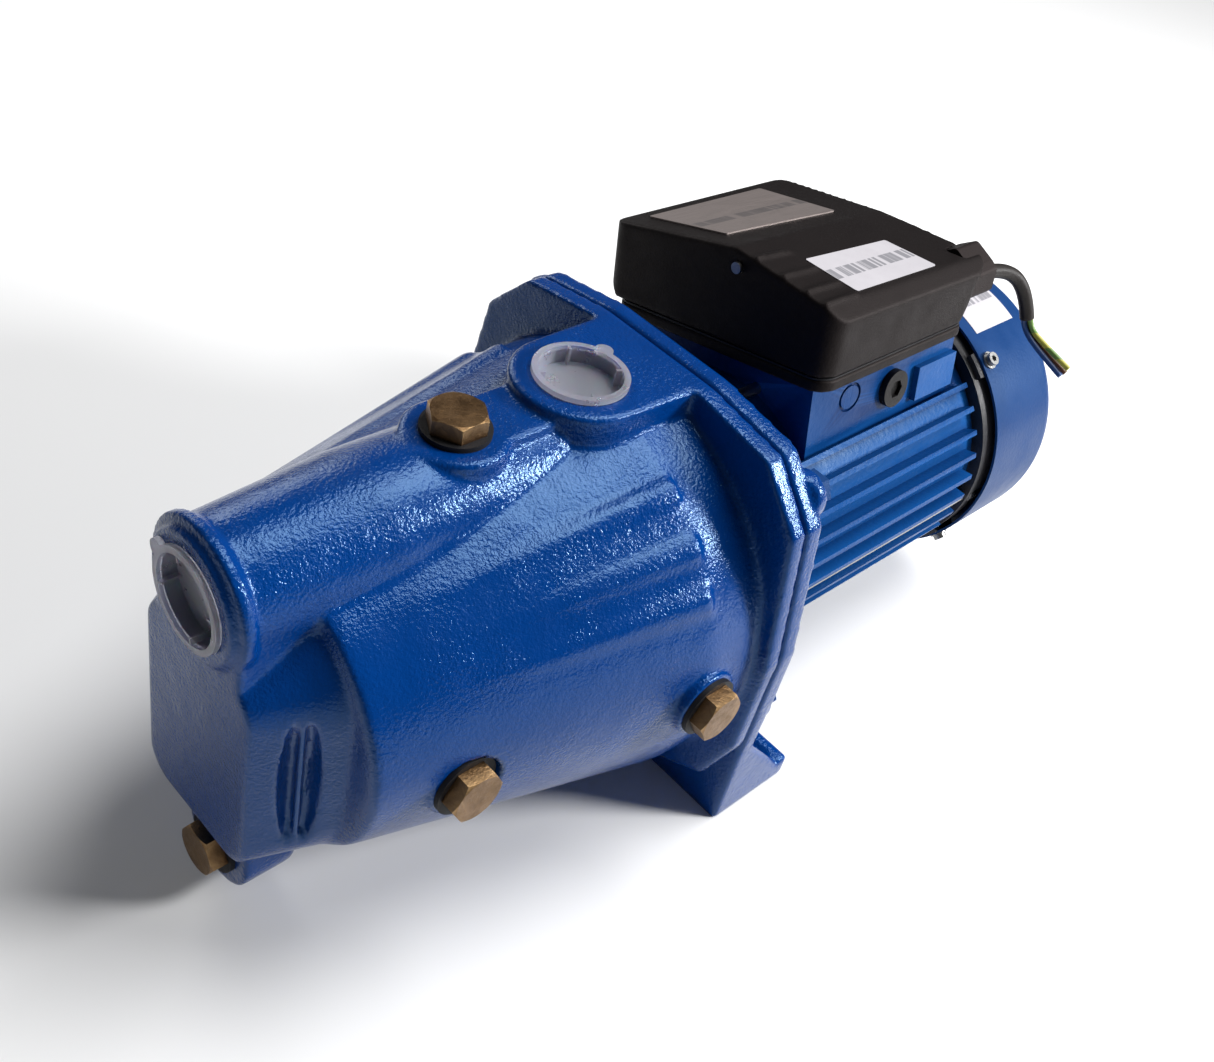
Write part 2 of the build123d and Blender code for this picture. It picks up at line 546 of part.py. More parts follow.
with BuildPart() as seal_spring:
    with BuildLine() as coil:
        Helix(SPRING_LEN / SPRING_TURNS, SPRING_LEN, SPRING_R, center=(SPRING_X, 0, SHAFT_Z),
              direction=(1, 0, 0))
    with BuildSketch(Plane(origin=coil.line @ 0, z_dir=coil.line % 0)) as spring_wire:
        Circle(SPRING_WIRE_R)
    sweep(spring_wire.sketch, path=coil.line)
save(seal_spring, "seal_spring")


# ---------------------------------------------------------------- motor bracket with feet
def foot(side):
    """One foot: base plate with a bolt hole, side gusset and rear lip."""
    with BuildSketch(Plane.XY) as base:
        with Locations(((FOOT_LEN + JOINT_X) / 2, side * (FOOT_HALF_W + FOOT_INNER_Y) / 2)):
            Rectangle(FOOT_LEN, FOOT_HALF_W - FOOT_INNER_Y)
        with Locations((ORIGIN_X, side * FOOT_HOLE_Y)):
            Circle(FOOT_HOLE_R, mode=Mode.SUBTRACT)
    extrude(base.sketch, amount=FOOT_T)
    outer = side * FOOT_HALF_W
    with BuildSketch(Plane.XZ.offset(-outer)) as gusset:
        with BuildLine():
            Polyline((0, 0), (FOOT_LEN, 0), (FOOT_LEN - LIP_T, FOOT_T), (BRACKET_T, GUSSET_TOP),
                     (0, GUSSET_TOP), close=True)
        make_face()
    extrude(gusset.sketch, amount=side * GUSSET_T)
    with BuildSketch(Plane.XY.offset(FOOT_T)) as lip:
        with Locations((FOOT_LEN - LIP_T / 2, side * (FOOT_HALF_W + FOOT_INNER_Y) / 2)):
            Rectangle(LIP_T, FOOT_HALF_W - FOOT_INNER_Y)
    extrude(lip.sketch, amount=LIP_H - FOOT_T)


BOLT_SEAT_X = JOINT_X + BRACKET_T + BOLT_BOSS_T
DRIP_X, DRIP_END_X, DRIP_R = 10.0, 25.0, 16.0      # drip chamber round the slinger
DRIP_DRAIN_R = 6.0

with BuildPart() as bracket:
    joint_plate([(94, 40), (94, 0), (FOOT_INNER_Y, 0), (FOOT_INNER_Y - 12, 14)], JOINT_X + CLEAR,
                JOINT_X + BRACKET_T)
    disc(JOINT_X - 6, JOINT_X + 1, CHAMBER_R - 0.1)
    disc(JOINT_X - 4.5, JOINT_X - 1.5, CHAMBER_R + 1, CHAMBER_R - 3, Mode.SUBTRACT)
    disc(JOINT_X + BRACKET_T, LANTERN_END_X, LANTERN_R, LANTERN_R - 7)
    disc(LANTERN_END_X - 7, LANTERN_END_X, LANTERN_R - 1)
    disc(JOINT_X - 6, FRONT_BEARING_X - 4, SEAL_SEAT_R + 7)
    disc(FRONT_BEARING_X - 4, LANTERN_END_X, BEARING_R + 7)
    disc(JOINT_X - 6, LANTERN_END_X, SHAFT_R + 2, mode=Mode.SUBTRACT)
    disc(DRIP_X, DRIP_END_X, DRIP_R, mode=Mode.SUBTRACT)
    along_z((DRIP_X + DRIP_END_X) / 2, 0, 0, SHAFT_Z, DRIP_DRAIN_R, Mode.SUBTRACT)
    disc(JOINT_X - 6, JOINT_X + 4, SEAL_SEAT_R, mode=Mode.SUBTRACT)
    disc(FRONT_BEARING_X, LANTERN_END_X, BEARING_R, mode=Mode.SUBTRACT)
    for side in (-1, 1):
        foot(side)
    for bolt_y, bolt_z in BOLT_PLACES:
        along_x(JOINT_X + BRACKET_T - 1, BOLT_SEAT_X, bolt_y, bolt_z, 10)
        along_x(JOINT_X, BOLT_SEAT_X, bolt_y, bolt_z, BOLT_R + CLEAR, Mode.SUBTRACT)
    on_motor(LANTERN_END_X - 10, LANTERN_END_X, TIE_ROD_ANGLES, TIE_ROD_PLACE_R, TIE_ROD_R + CLEAR,
             Mode.SUBTRACT)
save(bracket, "motor_bracket")

with BuildPart() as flange_bolts:
    for bolt_y, bolt_z in BOLT_PLACES:
        with BuildSketch(Plane.YZ.offset(BOLT_SEAT_X)) as bolt_head:
            with Locations((bolt_y, bolt_z)):
                RegularPolygon(7.5, 6)
        extrude(bolt_head.sketch, amount=5.5)
        along_x(JOINT_X - BOLT_DEPTH + 0.5, BOLT_SEAT_X, bolt_y, bolt_z, BOLT_R)
save(flange_bolts, "flange_bolts")

# ---------------------------------------------------------------- shaft, bearings, rotor
SHAFT_FRONT_X, SHAFT_END_X = HUB_FRONT_X - NUT_T - 2, 222.0
ROTOR_R = STATOR_BORE_R - 0.6
MID_SHAFT_R = 10.0

with BuildPart() as shaft:
    disc(SHAFT_FRONT_X, HUB_FRONT_X, THREAD_END_R)
    disc(HUB_FRONT_X, FRONT_BEARING_X, SHAFT_R)
    disc(FRONT_BEARING_X, FRONT_BEARING_X + BEARING_W, BEARING_BORE_R)
    disc(FRONT_BEARING_X + BEARING_W, REAR_BEARING_X, MID_SHAFT_R)
    disc(REAR_BEARING_X, REAR_BEARING_X + BEARING_W, BEARING_BORE_R)
    disc(REAR_BEARING_X + BEARING_W, SHAFT_END_X, SHAFT_R - 1)
save(shaft, "shaft")

with BuildPart() as rotor_core:
    disc(STATOR_X, STATOR_X + STATOR_LEN, ROTOR_R, MID_SHAFT_R + RUN)
    disc(STATOR_X - 7, STATOR_X + STATOR_LEN + 7, ROTOR_R - 1, ROTOR_R - 9)
save(rotor_core, "rotor_core")

BALL_R, BALLS = 3.4, 8
PITCH_R = (BEARING_R + BEARING_BORE_R) / 2
RACE_T = 4.0

with BuildPart() as outer_rings:
    for bearing_x in (FRONT_BEARING_X, REAR_BEARING_X):
        disc(bearing_x, bearing_x + BEARING_W, BEARING_R - 0.02, BEARING_R - RACE_T)
    for bearing_x in (FRONT_BEARING_X, REAR_BEARING_X):
        with BuildSketch(SHAFT_PROFILE) as outer_groove:
            with Locations((bearing_x + BEARING_W / 2, PITCH_R)):
                Circle(BALL_R + 0.02)
        revolve(outer_groove.sketch, axis=SHAFT_AXIS, mode=Mode.SUBTRACT)
save(outer_rings, "bearing_outer_rings")

with BuildPart() as inner_rings:
    for bearing_x in (FRONT_BEARING_X, REAR_BEARING_X):
        disc(bearing_x, bearing_x + BEARING_W, BEARING_BORE_R + RACE_T, BEARING_BORE_R + 0.02)
    for bearing_x in (FRONT_BEARING_X, REAR_BEARING_X):
        with BuildSketch(SHAFT_PROFILE) as inner_groove:
            with Locations((bearing_x + BEARING_W / 2, PITCH_R)):
                Circle(BALL_R + 0.02)
        revolve(inner_groove.sketch, axis=SHAFT_AXIS, mode=Mode.SUBTRACT)
save(inner_rings, "bearing_inner_rings")

with BuildPart() as balls:
    for bearing_x in (FRONT_BEARING_X, REAR_BEARING_X):
        with Locations(SHAFT_SECTION.offset(bearing_x + BEARING_W / 2)):
            with PolarLocations(PITCH_R, BALLS):
                Sphere(BALL_R)
save(balls, "bearing_balls")

with BuildPart() as slinger:
    disc(DRIP_X + 5, DRIP_X + 7, DRIP_R - 3, SHAFT_R + RUN)
save(slinger, "water_slinger")

# ---------------------------------------------------------------- stator and housing
SLOTS = 24
TOOTH_ROOT_R = STATOR_BORE_R + 14

with BuildPart() as stator_core:
    disc(STATOR_X, STATOR_X + STATOR_LEN, STATOR_R, STATOR_BORE_R)
    with BuildSketch(MOTOR_SECTION.offset(STATOR_X)) as slots:
        with PolarLocations((STATOR_BORE_R + TOOTH_ROOT_R) / 2, SLOTS):
            Rectangle(TOOTH_ROOT_R - STATOR_BORE_R + 1, 5)
    extrude(slots.sketch, amount=STATOR_LEN, mode=Mode.SUBTRACT)
save(stator_core, "stator_core")

with BuildPart() as windings:
    disc(STATOR_X - 16, STATOR_X - 0.5, TOOTH_ROOT_R, STATOR_BORE_R + 2)
    disc(STATOR_X + STATOR_LEN + 0.5, STATOR_X + STATOR_LEN + 16, TOOTH_ROOT_R, STATOR_BORE_R + 2)
    with BuildSketch(MOTOR_SECTION.offset(STATOR_X - 0.5)) as conductors:
        with PolarLocations((STATOR_BORE_R + 2 + TOOTH_ROOT_R) / 2, SLOTS):
            Rectangle(TOOTH_ROOT_R - STATOR_BORE_R - 4, 4.6)
    extrude(conductors.sketch, amount=STATOR_LEN + 1)
save(windings, "stator_windings")

FIN_FIRST, FIN_LAST = 55, 305        # from the motor's top, round the underside
FIN_COUNT = (FIN_LAST - FIN_FIRST) // FIN_STEP + 1

with BuildPart() as housing:
    disc(HOUSING_X, HOUSING_END_X, HOUSING_R, STATOR_R + 0.02)
    with BuildSketch(MOTOR_SECTION.offset(FIN_X)) as fins:
        with PolarLocations((HOUSING_R + FIN_R - 1) / 2, FIN_COUNT, start_angle=90 + FIN_FIRST,
                            angular_range=FIN_LAST - FIN_FIRST, endpoint=True):
            Rectangle(FIN_R - HOUSING_R + 1, FIN_T)
    extrude(fins.sketch, amount=FIN_END_X - FIN_X)
    with BuildSketch(MOTOR_TOP.offset(HOUSING_R - 45)) as pad_block:
        with Locations(((PAD_X + PAD_END_X) / 2, 0)):
            Rectangle(PAD_END_X - PAD_X, 2 * PAD_HALF_W)
    extrude(pad_block.sketch, amount=PAD_TOP - HOUSING_R + 45)
    disc(HOUSING_X, HOUSING_END_X, STATOR_R + 0.02, mode=Mode.SUBTRACT)
    with BuildSketch(MOTOR_TOP.offset(40)) as wire_window:
        with Locations(((PAD_X + PAD_END_X) / 2, 0)):
            Rectangle(2 * WINDOW_HALF, 2 * WINDOW_HALF)
    extrude(wire_window.sketch, amount=40, mode=Mode.SUBTRACT)
    on_motor(HOUSING_X, HOUSING_END_X, TIE_ROD_ANGLES, TIE_ROD_PLACE_R, TIE_ROD_R + CLEAR, Mode.SUBTRACT)
    with BuildSketch(PAD_FACE) as raised_step:
        with Locations(((STEP_X + STEP_END_X) / 2, STEP_UP)):
            Rectangle(STEP_END_X - STEP_X, STEP_H)
    extrude(raised_step.sketch, amount=STEP_RISE)
    with BuildSketch(PAD_FACE) as knock_out:
        with Locations(KNOCK_OUT):
            Ellipse(*KNOCK_OUT_HALF)
            Ellipse(*(half - KNOCK_OUT_GROOVE for half in KNOCK_OUT_HALF), mode=Mode.SUBTRACT)
    extrude(knock_out.sketch, amount=-1, mode=Mode.SUBTRACT)
    with BuildSketch(PAD_FACE) as blank_hole:
        with Locations(BLANK):
            Circle(BLANK_R + CLEAR)
    extrude(blank_hole.sketch, amount=-BLANK_DEPTH - 1, mode=Mode.SUBTRACT)
save(housing, "motor_housing")

with BuildPart() as blanking_plug:
    with BuildSketch(PAD_FACE) as blank_head:
        with Locations(BLANK):
            Circle(BLANK_HEAD_R)
    extrude(blank_head.sketch, amount=BLANK_HEAD_T)
    with BuildSketch(PAD_FACE.offset(BLANK_HEAD_T)) as blank_key:
        with Locations(BLANK):
            RegularPolygon(BLANK_HEAD_R / 2, 6)
    extrude(blank_key.sketch, amount=-BLANK_HEAD_T / 2, mode=Mode.SUBTRACT)
    with BuildSketch(PAD_FACE) as blank_shank:
        with Locations(BLANK):
            Circle(BLANK_R)
    extrude(blank_shank.sketch, amount=-BLANK_DEPTH)
save(blanking_plug, "blanking_plug")

SHIELD_T = 4.0
RIM_END_X, RIM_T = 198.0, 3.0       # the shield's rim inside the fan cover's mouth
SHIELD_HUB_R = BEARING_R + 6
SEAT_END_X = REAR_BEARING_X + BEARING_W + 1.5
LUG_END_X = 202.0

with BuildPart() as rear_shield:
    disc(HOUSING_END_X + CLEAR, HOUSING_END_X + SHIELD_T, FIN_R - 0.5)
    disc(HOUSING_END_X - 4, HOUSING_END_X + SHIELD_T, STATOR_R - 0.1, STATOR_R - 6)
    disc(HOUSING_END_X + SHIELD_T, RIM_END_X, FIN_R - 0.5, FIN_R - 0.5 - RIM_T)
    disc(REAR_BEARING_X - 2, SEAT_END_X + 2, SHIELD_HUB_R)
    with BuildSketch(MOTOR_SECTION.offset(HOUSING_END_X + SHIELD_T - 1)) as lugs:
        with PolarLocations(COVER_R - COVER_T - 6.1, 4, start_angle=90 + COVER_SCREW_ANGLE):
            Rectangle(12, 12)
        Circle(COVER_R - COVER_T - 0.1, mode=Mode.INTERSECT)
    extrude(lugs.sketch, amount=LUG_END_X - HOUSING_END_X - SHIELD_T + 1)
    disc(REAR_BEARING_X - 2, SEAT_END_X, BEARING_R, mode=Mode.SUBTRACT)
    disc(SEAT_END_X, SEAT_END_X + 2, SHAFT_R + 1, mode=Mode.SUBTRACT)
    cover_screws(COVER_R - COVER_T - COVER_SCREW_LEN - 1, COVER_R, COVER_SCREW_R + CLEAR, mode=Mode.SUBTRACT)
    on_motor(HOUSING_END_X, HOUSING_END_X + SHIELD_T, TIE_ROD_ANGLES, TIE_ROD_PLACE_R,
             TIE_ROD_R + CLEAR, Mode.SUBTRACT)
    on_motor(HOUSING_END_X + SHIELD_T, RIM_END_X, TIE_ROD_ANGLES, TIE_ROD_PLACE_R, ROD_HEAD_R + 0.4,
             Mode.SUBTRACT)
save(rear_shield, "rear_shield")

with BuildPart() as wave_spring:
    disc(SEAT_END_X - 1.3, SEAT_END_X - 0.2, BEARING_R - 0.5, BEARING_R - 3)
save(wave_spring, "bearing_wave_spring")

with BuildPart() as tie_rods:
    on_motor(LANTERN_END_X - 9, HOUSING_END_X + SHIELD_T, TIE_ROD_ANGLES, TIE_ROD_PLACE_R, TIE_ROD_R)
    on_motor(HOUSING_END_X + SHIELD_T, HOUSING_END_X + SHIELD_T + 3, TIE_ROD_ANGLES, TIE_ROD_PLACE_R,
             ROD_HEAD_R)
save(tie_rods, "tie_rods")

# ---------------------------------------------------------------- fan and its cover
FAN_X, FAN_END_X, FAN_R, FAN_BLADES = 204.0, 224.0, 61.0, 7
COVER_SLOTS = 24


def cover_profile(inset):
    """Half section of the cover: a can open to the motor, its back edge rounded."""
    end, radius, corner = COVER_END_X - inset, COVER_R - inset, COVER_CORNER_R - inset
    with BuildSketch(SHAFT_PROFILE) as half:
        with BuildLine():
            front_edge = Polyline((end, 0), (COVER_X, 0), (COVER_X, radius), (end - corner, radius))
            rounded = RadiusArc(front_edge @ 1, (end, radius - corner), corner)
            Line(rounded @ 1, front_edge @ 0)
        make_face()
    return half.sketch


with BuildPart() as fan:
    disc(FAN_X, FAN_END_X - 2, HUB_R, SHAFT_R - 1 + RUN)
    disc(FAN_X, FAN_X + 2.5, FAN_R - 6, SHAFT_R)
    with BuildSketch(SHAFT_SECTION.offset(FAN_X + 1)) as blades:
        with PolarLocations((HUB_R + FAN_R - 1) / 2, FAN_BLADES):
            Rectangle(FAN_R - HUB_R + 1, 2)
    extrude(blades.sketch, amount=FAN_END_X - FAN_X - 1)
save(fan, "fan")

with BuildPart() as fan_cover:
    revolve(cover_profile(0), axis=SHAFT_AXIS)
    revolve(cover_profile(COVER_T), axis=SHAFT_AXIS, mode=Mode.SUBTRACT)
    for ring_r, slot_len in ((21, 10), (38, 14), (55, 12)):
        with BuildSketch(MOTOR_SECTION.offset(COVER_END_X - 2 * COVER_T)) as slots:
            with PolarLocations(ring_r, COVER_SLOTS):
                SlotOverall(slot_len, 2.6)
        extrude(slots.sketch, amount=3 * COVER_T, mode=Mode.SUBTRACT)
    cover_screws(COVER_R - 2 * COVER_T, COVER_R + COVER_T, COVER_SCREW_R + CLEAR, mode=Mode.SUBTRACT)
save(fan_cover, "fan_cover")

# ---------------------------------------------------------------- terminal box
BASE_Z = PAD_TOP + CLEAR
SEAM_Z = BASE_Z + BOX_BASE_T
GASKET_T = 0.8
LID_Z = SEAM_Z + GASKET_T + CLEAR
LID_SKIRT = LID_Z - 10
ROOF_CORNER_R = 5.0
POST = (BOX_X + 8.5, LID_SCREW[0])    # x, across
POST_R, POST_TOP = 5.0, 112.0


def box_plan(up, end_x, near_w, far_w, inset):
    """A rounded rectangle across the motor's top, pulled in by the inset."""
    with BuildSketch(MOTOR_TOP.offset(up)) as section:
        with Locations(((BOX_X + end_x) / 2, (far_w - near_w) / 2)):
            RectangleRounded(end_x - BOX_X - 2 * inset, far_w + near_w - 2 * inset, BOX_CORNER_R - inset)
    return section.sketch


def box_floor(up0, up1, inset, mode=Mode.ADD):
    extrude(box_plan(up0, BOX_END_X, BOX_HALF_W, BOX_HALF_W, inset), amount=up1 - up0, mode=mode)


def roof_section(x, near_edge, crest, far_edge, inset):
    """The lid's roof and the rounding under its far side, wider than the lid itself."""
    reach = LID_FAR_BULGE + 7
    near_drop, far_drop = (-reach, near_edge[1] - 15.5), (reach, far_edge[1] - 10)
    outline = [(-reach, LID_SKIRT), near_drop, near_edge, crest, far_edge, far_drop, (reach, LID_Z + 14),
               (reach - 24, LID_SKIRT)]
    with BuildSketch(MOTOR_SECTION.offset(x)) as section:
        with BuildLine():
            FilletPolyline(*outline, radius=ROOF_CORNER_R, close=True)
        make_face()
        if inset:
            offset(amount=-inset)
    return section.sketch


def lid_block(inset):
    """The lid as a solid: a box with round corners and flared walls, under a hipped roof."""
    low = LID_Z - inset
    with BuildPart() as block:
        loft([box_plan(low, BOX_END_X, BOX_HALF_W, LID_FAR_BULGE, inset),
              box_plan(LID_PLAN_TOP, LID_END_X, LID_NEAR_W, LID_FAR_W, inset)])
        loft([roof_section(*ROOF_FRONT, inset), roof_section(*ROOF_REAR, inset)], mode=Mode.INTERSECT)
    return block.part


def motor_post(x0, x1, radius, mode=Mode.ADD):
    """A bar or hole along X on the lid screw's centre line, inside the open part."""
    with BuildSketch(MOTOR_SECTION.offset(x0)) as section:
        with Locations(LID_SCREW):
            Circle(radius)
    extrude(section.sketch, amount=x1 - x0, mode=mode)


with BuildPart() as box_base:
    box_floor(BASE_Z, SEAM_Z, 0)
    box_floor(BASE_Z + 2.5, SEAM_Z, BOX_WALL, Mode.SUBTRACT)
    with BuildSketch(MOTOR_TOP.offset(BASE_Z + 2)) as post:
        with Locations(POST):
            Circle(POST_R)
    extrude(post.sketch, amount=POST_TOP - BASE_Z - 2)
    motor_post(BOX_X, BOX_X + 20, LID_SCREW_R + CLEAR, Mode.SUBTRACT)
    with BuildSketch(MOTOR_TOP.offset(BASE_Z)) as base_window:
        with Locations(((PAD_X + PAD_END_X) / 2, 0)):
            Rectangle(2 * WINDOW_HALF, 2 * WINDOW_HALF)
    extrude(base_window.sketch, amount=BOX_BASE_T, mode=Mode.SUBTRACT)
save(box_base, "terminal_box_base")

with BuildPart() as gasket:
    box_floor(SEAM_Z + CLEAR / 2, SEAM_Z + CLEAR / 2 + GASKET_T, 0.6)
    box_floor(SEAM_Z + CLEAR / 2, SEAM_Z + CLEAR / 2 + GASKET_T, BOX_WALL - 0.4, Mode.SUBTRACT)
save(gasket, "box_gasket")

LID_SOLID = lid_block(0)
LID_HOLLOW = lid_block(BOX_WALL)
MOTOR_UP = Vector(0, sin(turn), cos(turn))
SKIN_GAP = 0.01             # between a plate and the roof it lies on


def roof_skin(x0, x1, across0, across1, thickness):
    """A thin plate that follows the roof of the lid."""
    with BuildPart() as skin:
        with BuildSketch(MOTOR_TOP.offset(LID_Z)) as outline:
            with Locations(((x0 + x1) / 2, (across0 + across1) / 2)):
                RectangleRounded(x1 - x0, across1 - across0, min(1.2, 0.4 * (across1 - across0)))
        extrude(outline.sketch, amount=LID_PLAN_TOP - LID_Z)
        add(LID_SOLID.moved(Location(MOTOR_UP * (thickness + SKIN_GAP))), mode=Mode.INTERSECT)
        add(LID_SOLID.moved(Location(MOTOR_UP * SKIN_GAP)), mode=Mode.SUBTRACT)
    return skin


def gland_block(x0, x1, grow):
    """The cable entry's hooded block."""
    with BuildPart() as block:
        with BuildSketch(MOTOR_SECTION.offset(x0)) as section:
            with BuildLine():
                FilletPolyline(*GLAND_OUTLINE, radius=2.5, close=True)
            make_face()
            if grow:
                offset(amount=grow)
        extrude(section.sketch, amount=x1 - x0)
    return block


GLAND_X, GLAND_END_X = BOX_END_X - 3, 174.0
GLAND_OUTLINE = [(-59, 86), (-60, 97), (-57, 100), (-48, 106.5), (-38, 102), (-38, 86)]
EXIT = (-56.0, 94.5)                     # across, up, on the gland's rear face
save(gland_block(GLAND_X, GLAND_END_X, 0), "cable_gland")
gland_notch = gland_block(GLAND_X - CLEAR, GLAND_END_X + 1, CLEAR).part

RIDGES = (-17.0, -31.0, -43.0, -52.5)    # across; short moulded ridges at the front of the near slope
RIDGE_W, RIDGE_H, RIDGE_LEN = 2.2, 1.3, 22.0
ridge_parts = [roof_skin(BOX_X + 1, BOX_X + 1 + RIDGE_LEN, across - RIDGE_W, across, RIDGE_H).part
               for across in RIDGES]

with BuildPart() as box_lid:
    add(LID_SOLID)
    for ridge in ridge_parts:
        add(ridge.moved(Location(MOTOR_UP * -2 * SKIN_GAP)))
    add(LID_HOLLOW, mode=Mode.SUBTRACT)
    add(gland_notch, mode=Mode.SUBTRACT)
    motor_post(BOX_X - 1, BOX_X + 2 * BOX_WALL, LID_SCREW_R + CLEAR, Mode.SUBTRACT)
save(box_lid, "terminal_box_lid")

with BuildPart() as lid_screw:
    motor_post(BOX_X - 1.6, BOX_X - SKIN_GAP, 1.5 * LID_SCREW_R)
    motor_post(BOX_X - SKIN_GAP, BOX_X + 12, LID_SCREW_R)
save(lid_screw, "lid_screw")

save(roof_skin(70, 145, 9, 53, 0.6), "nameplate")
save(roof_skin(80, 136, -52, -25, 0.2), "box_label")

with BuildPart() as capacitor:
    with BuildSketch(MOTOR_SECTION.offset(76)) as can:
        with Locations((30, 92)):
            Circle(13)
    extrude(can.sketch, amount=62)
save(capacitor, "run_capacitor")

with BuildPart() as terminal_block:
    with BuildSketch(MOTOR_TOP.offset(BASE_Z + 2.5)) as block_foot:
        with Locations((90, -38)):
            Rectangle(34, 18)
    extrude(block_foot.sketch, amount=12)
    with BuildSketch(MOTOR_TOP.offset(BASE_Z + 14.5)) as ridges:
        with Locations((90, -38)):
            with GridLocations(11, 0, 3, 1):
                Rectangle(8, 14)
    extrude(ridges.sketch, amount=4)
save(terminal_block, "terminal_block")


# ---------------------------------------------------------------- sticker and screws of the fan cover
with BuildPart() as cover_label:
    disc(COVER_LABEL[0], COVER_LABEL[1], COVER_R + 0.2, COVER_R + 0.01)
    with BuildSketch(SHAFT_SECTION.offset(COVER_LABEL[0])) as wedge:
        with BuildLine():
            reach = 2 * COVER_R
            low, high = radians(90 + COVER_LABEL[2]), radians(90 + COVER_LABEL[3])
            Polyline((0, 0), (reach * cos(low), reach * sin(low)), (reach * cos(high), reach * sin(high)),
                     close=True)
        make_face()
    extrude(wedge.sketch, amount=COVER_LABEL[1] - COVER_LABEL[0], mode=Mode.INTERSECT)
save(cover_label, "cover_label")

SCREW_SEAT_R = COVER_R + CLEAR

with BuildPart() as fan_cover_screws:
    cover_screws(COVER_R - COVER_T - COVER_SCREW_LEN, SCREW_SEAT_R + 1, COVER_SCREW_R)
    cover_screws(SCREW_SEAT_R, SCREW_SEAT_R + 0.8, 2.1 * COVER_SCREW_R)
    cover_screws(SCREW_SEAT_R, SCREW_SEAT_R + 3.2, 1.6 * COVER_SCREW_R)
    cover_screws(SCREW_SEAT_R + 1.5, SCREW_SEAT_R + 4, 0.8 * COVER_SCREW_R, 6, Mode.SUBTRACT)
save(fan_cover_screws, "fan_cover_screws")

# ---------------------------------------------------------------- cable
def bend_radii(points):
    """The radius of each bend: 0.45 of the shorter run over the tangent of half the turn."""
    radii = []
    for before, corner, after in zip(points, points[1:], points[2:]):
        run_in, run_out = corner - before, after - corner
        half_turn = radians(run_in.get_angle(run_out)) / 2
        radii.append(0.45 * min(run_in.length, run_out.length) / tan(half_turn))
    return radii


def cord(points, radius, name):
    """A plain round cord of straight runs and tangent arcs."""
    points = [Vector(*point) for point in points]
    radii = bend_radii(points)
    with BuildPart() as tube:
        with BuildLine() as route:
            FilletPolyline(*points, radius=radii)
        with BuildSketch(Plane(origin=route.line @ 0, z_dir=route.line % 0)) as section:
            Circle(radius)
        sweep(section.sketch, path=route.line)
    length = sum(edge.length for edge in route.edges())
    print(name, "bend radii", [round(bend, 1) for bend in radii], "length", round(length, 1),
          "volume ratio", round(tube.part.volume / (pi * radius ** 2 * length), 3))
    save(tube, name)


jacket_exit = Vector(*motor_point(GLAND_END_X, *EXIT))
jacket_end = Vector(201.5, -48, 171.5)
jacket_points = [jacket_exit, (189, -35, 193.5), (199, -43, 184), jacket_end]
cord(jacket_points, CABLE_R, "cable_jacket")


def beside(point, way, angle, spread):
    """A point off to one side of a centre line that runs this way."""
    up = way.cross(Vector(1, 0, 0)).normalized()
    along = up.cross(way)
    return point + (along * cos(radians(angle)) + up * sin(radians(angle))) * spread


wires_way = (jacket_end - Vector(*jacket_points[2])).normalized()
wires_bend, wires_tip = Vector(202.5, -59, 162.5), Vector(203, -75, 157.5)
tip_way = (wires_tip - wires_bend).normalized()
for wire_name, angle in (("wire_earth", 90), ("wire_blue", 210), ("wire_brown", 330)):
    cord([beside(jacket_end, wires_way, angle, WIRE_SPREAD),
          beside(jacket_end + wires_way * 5, wires_way, angle, WIRE_SPREAD),
          beside(wires_bend, tip_way, angle, WIRE_SPREAD + 0.4),
          beside(wires_tip, tip_way, angle, WIRE_SPREAD + 1)], WIRE_R, wire_name)
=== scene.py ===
"""Looks of the shallow well jet pump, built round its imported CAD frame. Metres, +Z up.

Sizes of noise and depths of bump in the materials are in metres too, and colours are linear.
"""

import json
import math

import bmesh
import bpy
import numpy as np
from mathutils import Matrix, Vector


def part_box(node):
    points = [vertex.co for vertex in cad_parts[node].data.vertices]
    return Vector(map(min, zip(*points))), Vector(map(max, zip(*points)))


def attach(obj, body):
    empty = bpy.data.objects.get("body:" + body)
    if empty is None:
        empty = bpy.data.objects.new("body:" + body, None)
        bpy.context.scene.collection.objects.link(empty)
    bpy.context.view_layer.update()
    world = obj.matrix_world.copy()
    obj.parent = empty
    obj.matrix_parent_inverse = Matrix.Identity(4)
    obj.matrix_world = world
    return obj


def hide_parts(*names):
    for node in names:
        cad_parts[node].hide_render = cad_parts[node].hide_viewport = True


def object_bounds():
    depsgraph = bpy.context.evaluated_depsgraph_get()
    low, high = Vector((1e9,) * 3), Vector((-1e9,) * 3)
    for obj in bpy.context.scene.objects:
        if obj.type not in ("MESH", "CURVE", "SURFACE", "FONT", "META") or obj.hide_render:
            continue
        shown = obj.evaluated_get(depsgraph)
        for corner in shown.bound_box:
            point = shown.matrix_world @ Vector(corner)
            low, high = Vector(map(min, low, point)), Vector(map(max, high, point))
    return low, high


# ---------------------------------------------------------------- frame
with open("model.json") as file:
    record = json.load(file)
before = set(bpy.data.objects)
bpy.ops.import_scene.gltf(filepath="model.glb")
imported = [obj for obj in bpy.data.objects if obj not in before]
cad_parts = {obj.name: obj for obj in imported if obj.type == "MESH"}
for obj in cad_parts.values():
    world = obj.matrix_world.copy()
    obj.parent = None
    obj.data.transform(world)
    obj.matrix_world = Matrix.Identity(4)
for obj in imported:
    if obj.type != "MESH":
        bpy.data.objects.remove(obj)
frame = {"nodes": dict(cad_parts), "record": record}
NODES = frame["nodes"]
LOADED_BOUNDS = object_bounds()
MM = 0.001

